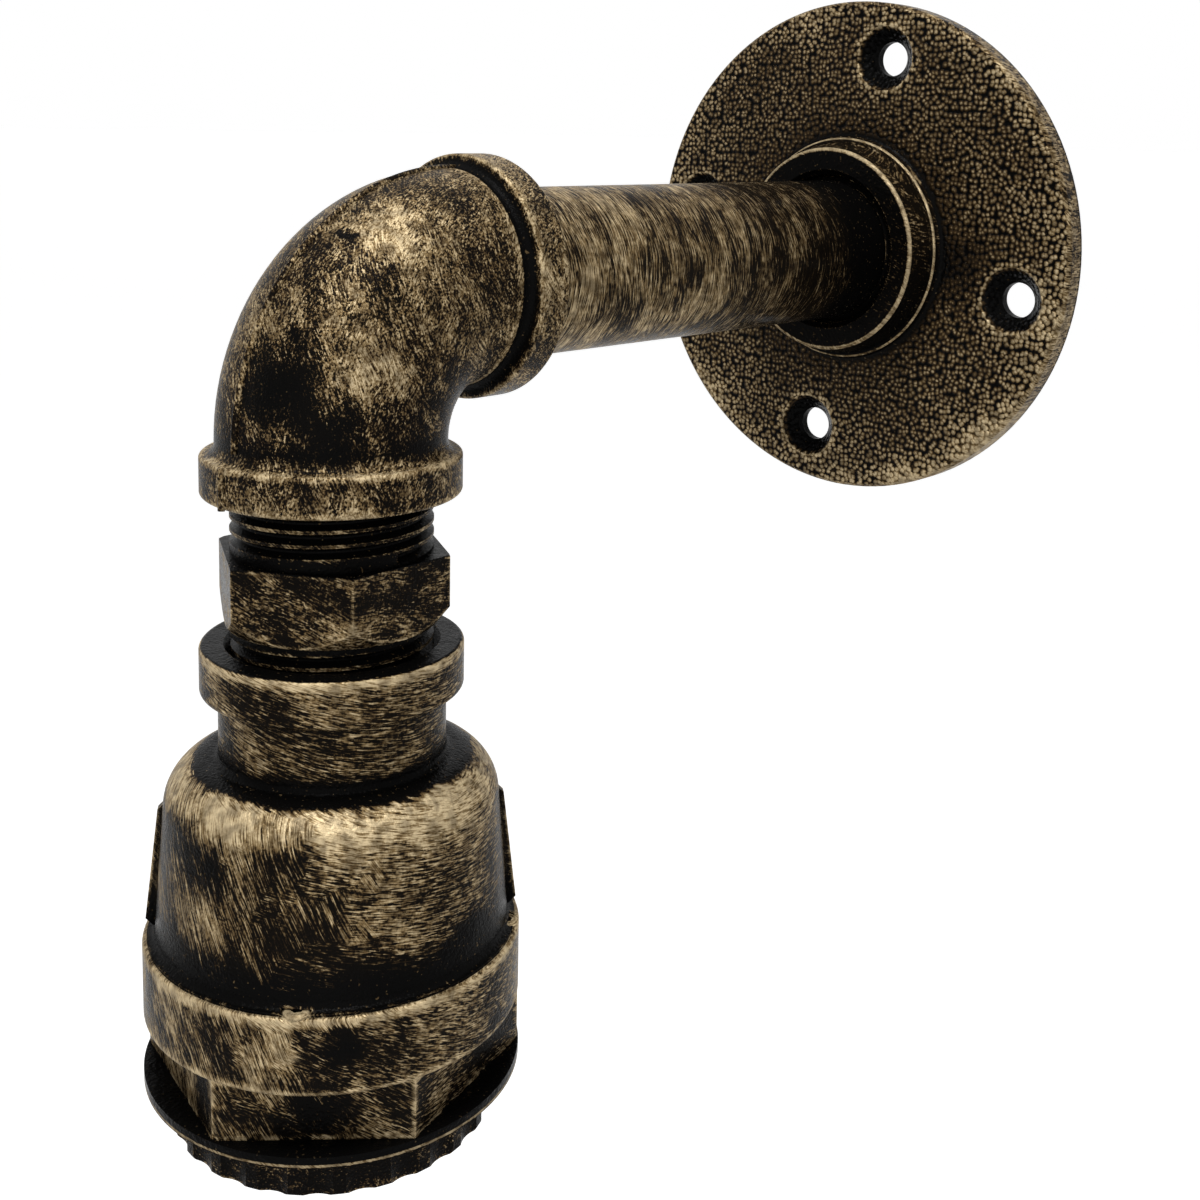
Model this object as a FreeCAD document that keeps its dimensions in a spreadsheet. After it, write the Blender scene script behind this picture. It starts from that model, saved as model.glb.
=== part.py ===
import FreeCAD, Part
import math
import os
import re

import Sketcher

# Industrial pipe wall light, in millimetres.
# Origin: centre of the flange's back face, on the wall. The wall is the plane Y = 0, the arm
# runs out along -Y, +Z is up, and the lamp stack hangs below the elbow on its own vertical axis.

# name, size, meaning
DRIVING_SIZES = [
    ("flange_radius", 44.0, "wall flange, outer radius"),
    ("flange_thickness", 4.2, "wall flange, plate thickness"),
    ("flange_rim_round", 0.9, "round on the flange's front rim"),
    ("hub_step_radius", 19.85, "step round the hub's root, radius"),
    ("hub_step_height", 1.85, "step round the hub's root, above the plate"),
    ("hub_step_round", 0.3, "round on the step's edge"),
    ("hub_base_radius", 19.05, "hub on the flange, radius above its step"),
    ("hub_face_radius", 18.0, "hub on the flange, radius at its front face"),
    ("hub_length", 6.7, "hub height above the plate"),
    ("hub_root_round", 1.4, "round between step and plate"),
    ("hub_edge_round", 0.5, "round on the hub's front edge"),
    ("wall_hole_inset", 9.5, "wall screw holes in from the flange's rim"),
    ("wall_hole_diameter", 6.0, "wall screw hole"),
    ("countersink_diameter", 11.4, "countersink of a wall screw hole"),
    ("wall_hole_clock", 11.3, "turn of the hole pattern off vertical, degrees"),
    ("pipe_radius", 12.25, "arm pipe, outside radius"),
    ("pipe_bore", 9.7, "arm pipe, bore radius"),
    ("pipe_end_inset", 0.5, "pipe end behind the wall plane's face"),
    ("arm_reach", 120.0, "wall plane to the axis of the lamp stack"),
    ("thread_radius", 13.3, "pipe thread, crest radius"),
    ("thread_pitch", 1.814, "pipe thread, 14 turns per inch"),
    ("thread_depth", 1.0, "pipe thread, crest to root"),
    ("thread_runout", 1.35, "hub face to the end of the arm pipe's thread"),
    ("groove_mouth", 0.84, "width of a thread groove at its crest, in pitches"),
    ("groove_root", 0.14, "width of a thread groove at its root, in pitches"),
    ("groove_past", 0.1, "reach of a thread's cutting outline past the crest"),
    ("cut_past", 1.0, "length by which a cut runs past the face it opens"),
    ("thread_clearance", 0.05, "socket bore outside the thread crest"),
    ("thread_lead_in", 0.9, "chamfer at thread ends and socket mouths"),
    ("arm_engagement", 10.0, "arm pipe inside the elbow's socket"),
    ("elbow_reach", 26.8, "elbow centre to each socket face"),
    ("elbow_bend_radius", 19.9, "elbow, radius of the bend's centreline"),
    ("elbow_body_radius", 15.1, "elbow body between its bands"),
    ("elbow_bore", 11.4, "elbow, radius of the cast waterway"),
    ("band_radius", 17.05, "elbow socket band, radius"),
    ("band_width", 5.4, "elbow socket band, width"),
    ("band_root_round", 1.25, "round between band and elbow body"),
    ("band_edge_round", 0.6, "round on the band's edges"),
    ("socket_relief", 0.7, "socket bore beyond the end of its pipe"),
    ("nipple_engagement", 9.6, "nipple thread inside each socket"),
    ("nipple_bore", 10.0, "nipple, bore radius"),
    ("upper_thread_show", 7.6, "bare thread between elbow and hexagon"),
    ("nipple_hex_flats", 28.0, "nipple hexagon across flats"),
    ("nipple_hex_height", 9.6, "nipple hexagon, top face to lower round edge"),
    ("nipple_hex_clock", 31.4, "turn of the nipple hexagon's corner, degrees"),
    ("nipple_cone_height", 2.7, "height of the cone below the hexagon's corners"),
    ("nipple_top_bevel", 0.15, "height of the bevel above the hexagon's corners"),
    ("nipple_bevel_slope", 2.5, "run of that bevel for each unit of its height"),
    ("lower_thread_show", 2.9, "bare thread between hexagon and bell"),
    ("bell_collar_radius", 17.4, "bell's top collar, radius"),
    ("bell_collar_height", 6.3, "bell's top collar, height"),
    ("bell_collar_round", 0.6, "round on the top collar's edges"),
    ("neck_radius", 15.05, "bell neck, radius"),
    ("neck_height", 9.2, "bell neck, height below its collar"),
    ("neck_root_round", 0.9, "round between neck and shoulder"),
    ("shoulder_radius", 21.8, "bell body, radius at the shoulder"),
    ("shoulder_round", 6.2, "round of the bell's shoulder"),
    ("bell_flare", 1.0, "lip that flares out at the bell's foot"),
    ("bell_flare_height", 0.4, "height of that lip's edge"),
    ("bell_flare_round", 0.95, "hollow round above that lip"),
    ("bell_body_height", 24.1, "neck root down to the seam"),
    ("bell_wall", 2.3, "bell wall thickness"),
    ("web_thickness", 2.6, "web across the bell's neck"),
    ("spigot_step", 0.6, "spigot smaller than the bell body, on radius"),
    ("spigot_length", 7.5, "bell spigot inside the base"),
    ("spigot_wall", 1.8, "spigot wall"),
    ("rib_width", 1.3, "bell rib, width"),
    ("rib_height", 1.2, "bell rib, height above the body"),
    ("rib_top_drop", 5.4, "neck root down to the rib's upper end"),
    ("rib_foot_rise", 0.6, "seam up to the rib's lower end"),
    ("rib_top_slope", 1.7, "drop of the rib's sloping upper end"),
    ("rib_foot_slope", 1.2, "rise of the rib's sloping lower end"),
    ("rib_clock", 52.6, "turn of the ribs about the stack axis, degrees"),
    ("base_room", 0.75, "clearance of the base's bore round the lampholder skirt"),
    ("base_wall", 1.5, "least wall behind the base hexagon's flats"),
    ("base_overhang", 0.1, "base collar beyond the hexagon's corners"),
    ("base_rim_width", 1.6, "base rim outside the bell's foot"),
    ("base_collar_height", 10.1, "base collar, height"),
    ("base_edge_round", 0.5, "round on the base collar's upper edge"),
    ("base_hex_height", 7.9, "base hexagon, height"),
    ("base_hex_clock", -14.0, "turn of the base hexagon's corner, degrees"),
    ("lip_thickness", 3.0, "inner lip at the foot of the base"),
    ("lip_clearance", 0.4, "lip bore outside the lampholder skirt"),
    ("lock_screw_inset", 1.7, "lock screws in from the base collar's radius"),
    ("lock_screw_clock", -48.3, "turn of the first lock screw, degrees"),
    ("lock_screw_radius", 1.25, "lock screw, shank radius"),
    ("lock_screw_length", 5.0, "lock screw, length of its shank"),
    ("lock_head_radius", 1.75, "lock screw, head radius"),
    ("lock_head_height", 0.5, "lock screw, head height"),
    ("lock_head_room", 0.15, "room left for a lock screw's head in the bell"),
    ("lock_screw_socket", 1.5, "lock screw's key socket across flats"),
    ("lock_screw_socket_depth", 1.5, "lock screw's key socket, depth"),
    ("lock_screw_bevel", 0.3, "bevel at a lock screw's ends"),
    ("screw_clearance", 0.06, "screw hole outside its screw"),
    ("tube_radius", 5.0, "threaded tube, outside radius"),
    ("tube_bore", 4.0, "threaded tube, bore radius"),
    ("tube_rise", 1.5, "threaded tube above its nut"),
    ("tube_grip", 5.6, "threaded tube inside the lampholder cap"),
    ("tube_fit", 0.04, "bores outside the threaded tube"),
    ("nut_flats", 13.0, "lock nut across flats"),
    ("nut_height", 3.0, "lock nut, height"),
    ("tag_radius", 7.3, "earth tag, radius of its ring"),
    ("tag_thickness", 0.8, "earth tag, thickness"),
    ("tag_tab_width", 3.4, "earth tag, width of its tab"),
    ("tag_barrel_length", 4.4, "earth tag, crimp barrel length"),
    ("tag_barrel_radius", 1.1, "earth tag, crimp barrel radius"),
    ("cap_boss_radius", 9.0, "lampholder cap, radius of its top"),
    ("cap_radius", 19.2, "lampholder cap, largest radius"),
    ("cap_dome_height", 11.5, "lampholder cap, height of its dome"),
    ("cap_band_height", 1.9, "lampholder cap, height of its grip band"),
    ("cap_thread_radius", 17.6, "lampholder cap, thread radius"),
    ("cap_thread_length", 6.2, "lampholder cap, thread length"),
    ("cap_wall", 2.2, "lampholder cap, wall"),
    ("cap_knee_drop", 4.8, "lampholder cap, top down to the knee of its dome"),
    ("cap_roof", 3.5, "lampholder cap, thickness of its roof at the tube"),
    ("moulding_gap", 0.1, "clearance between mouldings that screw together"),
    ("holder_radius", 19.5, "lampholder skirt, outside radius and thread crest"),
    ("holder_bore", 15.4, "lampholder skirt, bore at its mouth"),
    ("holder_mouth_rise", 0.8, "skirt mouth above the foot of the shade ring"),
    ("holder_thread_pitch", 2.5, "shade ring thread, pitch"),
    ("holder_thread_depth", 0.8, "shade ring thread, depth"),
    ("insert_flange_height", 4.0, "ceramic insert, height of its clamped flange"),
    ("insert_crown", 3.6, "ceramic insert above its flange"),
    ("insert_foot", 1.5, "ceramic insert below its flange"),
    ("pocket_depth", 2.6, "terminal pocket in the insert"),
    ("pocket_gap", 0.15, "terminal pocket outside its terminal"),
    ("terminal_size", 6.0, "brass terminal, square side"),
    ("terminal_height", 6.5, "brass terminal, height"),
    ("terminal_offset", 9.0, "terminal centre off the stack axis"),
    ("terminal_hole_offset", 7.2, "terminal's wire hole off the stack axis"),
    ("terminal_hole_radius", 0.8, "terminal's wire hole"),
    ("terminal_hole_depth", 4.2, "depth of the terminal's wire hole"),
    ("terminal_screw_radius", 1.25, "terminal screw, shank radius"),
    ("terminal_screw_hole_depth", 4.2, "depth of the terminal's screw hole"),
    ("terminal_screw_drop", 1.9, "terminal screw below the terminal's top"),
    ("screw_head_radius", 1.9, "terminal screw, head radius"),
    ("screw_head_height", 1.2, "terminal screw, head height"),
    ("screw_slot_width", 0.76, "terminal screw, width of its slot"),
    ("screw_slot_depth", 0.6, "terminal screw, depth of its slot"),
    ("rivet_radius", 1.2, "contact rivet, shank radius"),
    ("rivet_head_radius", 1.6, "contact rivet, head radius"),
    ("rivet_head_height", 0.7, "contact rivet, head height"),
    ("rivet_head_top", 1.1, "contact rivet, radius of its head's flat"),
    ("live_rivet_offset", 7.2, "live rivet off the stack axis"),
    ("neutral_rivet_offset", 11.5, "neutral rivet off the stack axis"),
    ("strip_thickness", 0.4, "contact strip, thickness"),
    ("strip_width", 5.0, "contact strip, width"),
    ("contact_root", 4.8, "bend line of the centre contact off the stack axis"),
    ("contact_tip", 2.2, "centre contact beyond the stack axis"),
    ("contact_drop", 2.5, "centre contact's tip below its root"),
    ("contact_gap", 0.12, "slit between the strip's root and its spring tongue"),
    ("shell_radius", 14.2, "screw shell, outside radius"),
    ("shell_wall", 0.9, "screw shell, depth of its rolled wall"),
    ("shell_opening", 10.0, "screw shell, opening in its top"),
    ("shell_relief_wall", 0.6, "screw shell, wall of the plain relief above its thread"),
    ("shell_relief_gap", 0.5, "relief's foot below the centre contact's tip"),
    ("shell_rise", 1.6, "screw shell's mouth above the skirt's mouth"),
    ("washer_overhang", 0.2, "shade washer beyond the hexagon's corners"),
    ("washer_thickness", 1.4, "shade washer, thickness"),
    ("washer_clearance", 0.35, "shade washer's hole outside the skirt"),
    ("ring_wall", 2.1, "shade ring, wall over its lobes"),
    ("ring_height", 6.4, "shade ring, height"),
    ("ring_clearance", 0.15, "shade ring's thread outside the skirt's crest"),
    ("ring_lobes", 24, "number of grip lobes round the shade ring"),
    ("ring_flute_radius", 3.9, "radius of the flute between two lobes"),
    ("ring_flute_depth", 0.65, "depth of the flute between two lobes"),
    ("ring_clock", 1.7, "turn of the first flute, degrees"),
    ("ring_edge_round", 0.35, "round on the shade ring's lower edge"),
    ("wire_radius", 1.05, "lead, radius over its insulation"),
    ("conductor_radius", 0.55, "lead, radius of its stripped end"),
    ("wire_spacing", 2.6, "distance between neighbouring leads"),
    ("wire_floor_gap", 0.3, "leads above the pipe's wall"),
    ("wire_bend", 14.0, "bend radius of the live and neutral leads in the elbow"),
    ("earth_bend", 9.5, "bend radius of the earth lead in the elbow"),
    ("earth_offset", 8.0, "earth tag's barrel off the stack axis"),
    ("wire_set_bend", 3.2, "bend radius of a lead above its terminal"),
    ("strip_length", 3.6, "stripped length in a terminal"),
    ("ferrule_length", 6.0, "ferrule, length of its metal pin"),
    ("ferrule_collar", 3.5, "ferrule, length of its collar"),
    ("ferrule_flare", 0.7, "ferrule, length of the flare into its collar"),
    ("ferrule_seat", 0.9, "ferrule, collar's start to the end of the insulation"),
    ("ferrule_radius", 0.75, "ferrule, radius of its metal pin"),
    ("ferrule_wall", 0.2, "ferrule, wall of its collar"),
    ("ferrule_inset", 1.5, "ferrule tip behind the wall plane's face"),
]

LOCK_SCREWS = 4
WALL_HOLES = 4
FULL_TURN = 360.0
FIT_TOLERANCE = 0.001

# Levels on the stack axis, above the elbow's centre. Each is a formula in the sizes.
NIPPLE_HEX_TOP = "(-elbow_reach - upper_thread_show)"
NIPPLE_HEX_FOOT = f"({NIPPLE_HEX_TOP} - nipple_hex_height)"
BELL_TOP = f"({NIPPLE_HEX_FOOT} - lower_thread_show)"
COLLAR_FOOT = f"({BELL_TOP} - bell_collar_height)"
NECK_ROOT = f"({COLLAR_FOOT} - neck_height)"
SEAM = f"({NECK_ROOT} - bell_body_height)"
WEB_TOP = f"({NECK_ROOT} + web_thickness)"
SPIGOT_FOOT = f"({SEAM} - spigot_length)"
BASE_COLLAR_FOOT = f"({SEAM} - base_collar_height)"
BASE_FOOT = f"({BASE_COLLAR_FOOT} - base_hex_height)"
WASHER_FOOT = f"({BASE_FOOT} - washer_thickness)"
RING_FOOT = f"({WASHER_FOOT} - ring_height)"
HOLDER_MOUTH = f"({RING_FOOT} + holder_mouth_rise)"
NUT_FOOT = f"({WEB_TOP} + tag_thickness)"
CAP_BAND = f"({NECK_ROOT} - cap_dome_height)"
HOLDER_TOP = f"({CAP_BAND} - cap_band_height - moulding_gap)"
CAP_FOOT = f"({CAP_BAND} - cap_band_height - cap_thread_length)"
INSERT_LEDGE = f"({CAP_FOOT} - insert_flange_height)"
INSERT_FLOOR = f"({INSERT_LEDGE} - insert_foot)"
INSERT_TOP = f"({CAP_FOOT} + insert_crown)"
TERMINAL_FOOT = f"({INSERT_TOP} - pocket_depth)"
TERMINAL_TOP = f"({TERMINAL_FOOT} + terminal_height)"
SHELL_MOUTH = f"({HOLDER_MOUTH} + shell_rise)"

# Radii that several pieces share.
SOCKET_BORE = "(thread_radius + thread_clearance)"
WALL_HOLE_REACH = "(flange_radius - wall_hole_inset)"
BASE_BORE = "(holder_radius + base_room)"
BASE_FLAT = f"({BASE_BORE} + base_wall)"
BASE_CORNER = f"({BASE_FLAT} / cos(30))"
BASE_RADIUS = f"({BASE_CORNER} + base_overhang)"
BELL_FOOT_RADIUS = f"({BASE_RADIUS} - base_rim_width)"
LOCK_SCREW_REACH = f"({BASE_RADIUS} - lock_screw_inset)"
WASHER_RADIUS = f"({BASE_CORNER} + washer_overhang)"
RING_BORE = "(holder_radius + ring_clearance)"
RING_RADIUS = f"({RING_BORE} + ring_wall)"
SPIGOT_RADIUS = f"({BELL_FOOT_RADIUS} - spigot_step)"
COUNTERBORE = f"({SPIGOT_RADIUS} + thread_clearance)"
LIP_BORE = "(holder_radius + lip_clearance)"
TUBE_HOLE = "(tube_radius + tube_fit)"
LOCK_SCREW_HOLE = "(lock_screw_radius + screw_clearance)"
FLUTE_REACH = f"({RING_RADIUS} + ring_flute_radius - ring_flute_depth)"
SHELL_BORE = "(shell_radius - shell_wall)"
LEAD_LEVEL = "(wire_radius + wire_floor_gap - sqrt(pow(pipe_bore; 2) - pow(wire_spacing; 2)))"


# ---------------------------------------------------------------- document and formulas

doc = FreeCAD.newDocument("PipeWallLight")
sheet = doc.addObject("Spreadsheet::Sheet", "Sizes")
size_names = {name for name, _, _ in DRIVING_SIZES}


def fill_sheet():
    for row, (name, size, meaning) in enumerate(DRIVING_SIZES, start=1):
        sheet.set(f"A{row}", name)
        sheet.set(f"B{row}", str(size))
        sheet.set(f"C{row}", meaning)
        sheet.setAlias(f"B{row}", name)
    doc.recompute()


def formula(text):
    """The text with each size's name turned into a reference to the sheet."""
    return re.sub(r"[a-z_]+", lambda word: f"Sizes.{word[0]}" if word[0] in size_names else word[0], str(text))


def number(text):
    result = sheet.evalExpression(formula(text))
    return float(getattr(result, "Value", result))


def bind(item, prop, text):
    item.setExpression(prop, formula(text))


# ---------------------------------------------------------------- building blocks

def new_body(label, frame="stack"):
    """A body in one of the two frames: 'arm' runs out from the wall, 'stack' hangs at the arm's end."""
    body = doc.addObject("PartDesign::Body", label)
    body.Label = label
    if frame == "arm":
        body.Placement.Rotation = FreeCAD.Rotation(FreeCAD.Vector(1, 0, 0), 90)
    else:
        bind(body, "Placement.Base.y", "-arm_reach")
    return body


def new_sketch(body, name, role="XZ_Plane", offset=None):
    plane = next(item for item in body.Origin.OriginFeatures if item.Role == role)
    sketch = body.newObject("Sketcher::SketchObject", name)
    sketch.AttachmentSupport = [(plane, "")]
    sketch.MapMode = "FlatFace"
    if offset is not None:
        bind(sketch, "AttachmentOffset.Base.z", offset)
    return sketch


def pin_one_way(sketch, kind, geometry, end, text):
    index = sketch.addConstraint(Sketcher.Constraint(kind, -1, 1, geometry, end, number(text)))
    bind(sketch, f"Constraints[{index}]", text)


def pin_point(sketch, geometry, end, across, up):
    """Holds one point of a sketch at two formulas, measured from the sketch's origin."""
    pin_one_way(sketch, "DistanceX", geometry, end, across)
    pin_one_way(sketch, "DistanceY", geometry, end, up)


def draw_outline(sketch, corners):
    places = [FreeCAD.Vector(number(across), number(up), 0) for across, up in corners]
    count = len(corners)
    for index in range(count):
        line = Part.LineSegment(places[index], places[(index + 1) % count])
        sketch.addGeometry(line, False)
    for index in range(count):
        sketch.addConstraint(Sketcher.Constraint("Coincident", index, 2, (index + 1) % count, 1))
    for index, (across, up) in enumerate(corners):
        pin_point(sketch, index, 1, across, up)


def draw_circle(sketch, across, up, radius):
    centre = FreeCAD.Vector(number(across), number(up), 0)
    circle = Part.Circle(centre, FreeCAD.Vector(0, 0, 1), number(radius))
    index = sketch.addGeometry(circle, False)
    pin_point(sketch, index, 3, across, up)
    size = sketch.addConstraint(Sketcher.Constraint("Radius", index, number(radius)))
    bind(sketch, f"Constraints[{size}]", radius)


def draw_hexagon(sketch, flats, clock):
    """A regular hexagon round the sketch's origin, one corner at the clock angle."""
    corners = []
    for corner in range(6):
        angle = f"({clock} + {60 * corner})"
        reach = f"({flats} / 2 / cos(30))"
        corners.append((f"{reach} * cos({angle})", f"{reach} * sin({angle})"))
    draw_outline(sketch, corners)


def turned(body, name, corners, kind="PartDesign::Revolution"):
    """Turns an outline of (radius, height) round the body's own Z axis, to add or to cut."""
    sketch = new_sketch(body, f"{name}Outline")
    draw_outline(sketch, corners)
    feature = body.newObject(kind, name)
    feature.Profile = sketch
    feature.ReferenceAxis = (sketch, ["V_Axis"])
    feature.Angle = FULL_TURN
    doc.recompute()
    return feature


def extruded(body, name, sketch, length, kind="PartDesign::Pad", reverse=False, midplane=False):
    feature = body.newObject(kind, name)
    feature.Profile = sketch
    feature.Reversed = reverse
    if midplane:
        feature.SideType = "Symmetric"
    bind(feature, "Length", length)
    doc.recompute()
    return feature


def round_edges(body, name, radius, circles, kind="PartDesign::Fillet"):
    """Rounds, or bevels, the circular edges that lie at the given (radius, height) pairs."""
    base = body.Tip
    wanted = [(number(edge_radius), number(height)) for edge_radius, height in circles]
    names = []
    for index, edge in enumerate(base.Shape.Edges, start=1):
        if not isinstance(edge.Curve, Part.Circle):
            continue
        here = (edge.Curve.Radius, edge.Curve.Center.z)
        if any(math.dist(here, there) < FIT_TOLERANCE for there in wanted):
            names.append(f"Edge{index}")
    feature = body.newObject(kind, name)
    feature.Base = (base, names)
    bind(feature, "Radius" if kind.endswith("Fillet") else "Size", radius)
    doc.recompute()
    return feature


def cut_thread(body, name, crest, depth, pitch, start, length):
    """Cuts a helical groove into a turned surface, from the start level upwards."""
    flank = f"({pitch} * groove_mouth / 2)"
    root = f"({pitch} * groove_root / 2)"
    sketch = new_sketch(body, f"{name}Groove")
    draw_outline(sketch, [
        (f"{crest} - {depth}", f"{start} - {root}"),
        (f"{crest} + groove_past", f"{start} - {flank}"),
        (f"{crest} + groove_past", f"{start} + {flank}"),
        (f"{crest} - {depth}", f"{start} + {root}"),
    ])
    helix = body.newObject("PartDesign::SubtractiveHelix", name)
    helix.Profile = sketch
    helix.ReferenceAxis = (sketch, ["V_Axis"])
    helix.Mode = 0
    helix.Angle = 0
    bind(helix, "Pitch", pitch)
    bind(helix, "Height", length)
    doc.recompute()
    return helix


def repeated(body, name, feature, count):
    """Copies a feature round the body's Z axis."""
    pattern = body.newObject("PartDesign::PolarPattern", name)
    pattern.Originals = [feature]
    pattern.Axis = (next(item for item in body.Origin.OriginFeatures if item.Role == "Z_Axis"), [""])
    pattern.Angle = FULL_TURN
    if isinstance(count, str):
        bind(pattern, "Occurrences", count)
    else:
        pattern.Occurrences = count
    body.Tip = pattern
    doc.recompute()
    return pattern


# ---------------------------------------------------------------- wall side

def make_wall_flange():
    body = new_body("wall_flange", "arm")
    hub_face = "(flange_thickness + hub_length)"
    step_top = "(flange_thickness + hub_step_height)"
    turned(body, "FlangeTurned", [
        (SOCKET_BORE, "0"),
        ("flange_radius", "0"),
        ("flange_radius", "flange_thickness"),
        ("hub_step_radius", "flange_thickness"),
        ("hub_step_radius", step_top),
        ("hub_base_radius", step_top),
        ("hub_face_radius", hub_face),
        (SOCKET_BORE, hub_face),
    ])
    holes = new_sketch(body, "WallHoles", "XY_Plane", "flange_thickness")
    for index in range(WALL_HOLES):
        angle = f"(wall_hole_clock + {index * FULL_TURN / WALL_HOLES})"
        draw_circle(holes, f"{WALL_HOLE_REACH} * sin({angle})", f"{WALL_HOLE_REACH} * cos({angle})",
                    "wall_hole_diameter / 2")
    doc.recompute()
    hole = body.newObject("PartDesign::Hole", "CountersunkHoles")
    hole.Profile = holes
    hole.DepthType = "ThroughAll"
    hole.HoleCutType = "Countersink"
    hole.HoleCutCountersinkAngle = 90
    bind(hole, "Diameter", "wall_hole_diameter")
    bind(hole, "HoleCutDiameter", "countersink_diameter")
    doc.recompute()
    round_edges(body, "HubMouth", "thread_lead_in", [(SOCKET_BORE, hub_face)], "PartDesign::Chamfer")
    round_edges(body, "RimRound", "flange_rim_round", [("flange_radius", "flange_thickness")])
    round_edges(body, "HubRoot", "hub_root_round", [("hub_step_radius", "flange_thickness")])
    round_edges(body, "StepEdge", "hub_step_round", [("hub_step_radius", step_top)])
    round_edges(body, "HubEdge", "hub_edge_round", [("hub_face_radius", hub_face)])
    return body


def make_arm_pipe():
    """The pipe's ends carry a rolled thread, which stands a little proud of the pipe."""
    body = new_body("arm_pipe", "arm")
    near = "pipe_end_inset"
    far = "(arm_reach - elbow_reach + arm_engagement)"
    hub_thread_end = "(flange_thickness + hub_length - thread_runout)"
    elbow_thread_start = "(arm_reach - elbow_reach + thread_lead_in)"
    root = "(thread_radius - thread_depth)"
    turned(body, "PipeTurned", [
        ("pipe_bore", near),
        (root, near),
        ("thread_radius", f"{near} + thread_depth"),
        ("thread_radius", f"{hub_thread_end} - thread_depth"),
        ("pipe_radius", hub_thread_end),
        ("pipe_radius", elbow_thread_start),
        ("thread_radius", f"{elbow_thread_start} + thread_depth"),
        ("thread_radius", f"{far} - thread_depth"),
        (root, far),
        ("pipe_bore", far),
    ])
    cut_thread(body, "WallThread", "thread_radius", "thread_depth", "thread_pitch",
               f"{near} - thread_pitch", f"{hub_thread_end} - {near} + thread_pitch / 2")
    cut_thread(body, "ElbowThread", "thread_radius", "thread_depth", "thread_pitch",
               f"{elbow_thread_start} + thread_pitch / 2", "arm_engagement + thread_pitch")
    return body


# ---------------------------------------------------------------- elbow and nipple

def draw_elbow_spine(sketch):
    """The centreline of the elbow, in the Y-Z plane: up the lower leg, round, and to the wall."""
    reach = number("elbow_reach")
    bend = number("elbow_bend_radius")
    middle = bend * (1 - math.sqrt(0.5))
    sketch.addGeometry(Part.LineSegment(FreeCAD.Vector(0, -reach, 0), FreeCAD.Vector(0, -bend, 0)), False)
    arc = Part.Arc(FreeCAD.Vector(0, -bend, 0), FreeCAD.Vector(middle, -middle, 0), FreeCAD.Vector(bend, 0, 0))
    sketch.addGeometry(arc, False)
    sketch.addGeometry(Part.LineSegment(FreeCAD.Vector(bend, 0, 0), FreeCAD.Vector(reach, 0, 0)), False)
    starts_low = sketch.getPoint(1, 1).distanceToPoint(FreeCAD.Vector(0, -bend, 0)) < FIT_TOLERANCE
    lower_end, upper_end = (1, 2) if starts_low else (2, 1)
    sketch.addConstraint(Sketcher.Constraint("Coincident", 0, 2, 1, lower_end))
    sketch.addConstraint(Sketcher.Constraint("Coincident", 1, upper_end, 2, 1))
    pin_point(sketch, 0, 1, "0", "-elbow_reach")
    pin_point(sketch, 0, 2, "0", "-elbow_bend_radius")
    pin_one_way(sketch, "DistanceX", 1, 3, "elbow_bend_radius")
    pin_point(sketch, 2, 1, "elbow_bend_radius", "0")
    pin_point(sketch, 2, 2, "elbow_reach", "0")


def sweep_round(body, name, spine, radius, kind):
    profile = new_sketch(body, f"{name}Circle", "XY_Plane", "-elbow_reach")
    draw_circle(profile, "0", "0", radius)
    sweep = body.newObject(kind, name)
    sweep.Profile = profile
    sweep.Spine = (spine, ["Edge1", "Edge2", "Edge3"])
    doc.recompute()
    return sweep


def elbow_socket(body, name, role, offset, radius, depth, kind="PartDesign::Pad"):
    """A cylinder at one socket face, going into the elbow."""
    circle = new_sketch(body, f"{name}Circle", role, offset)
    draw_circle(circle, "0", "0", radius)
    doc.recompute()
    extruded(body, name, circle, depth, kind, reverse=kind == "PartDesign::Pocket")


def band_edges(shape, radius, distance):
    """Names of the circular edges of one radius at one distance from the elbow's centre."""
    names = []
    for index, edge in enumerate(shape.Edges, start=1):
        if not isinstance(edge.Curve, Part.Circle) or abs(edge.Curve.Radius - radius) > FIT_TOLERANCE:
            continue
        centre = edge.Curve.Center
        if min(abs(centre.z + distance), abs(centre.y - distance)) < FIT_TOLERANCE:
            names.append(f"Edge{index}")
    return names


def finish_band_edges(body, name, kind, prop, size, radius, distance):
    base = body.Tip
    feature = body.newObject(kind, name)
    feature.Base = (base, band_edges(base.Shape, number(radius), number(distance)))
    bind(feature, prop, size)
    doc.recompute()


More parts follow.
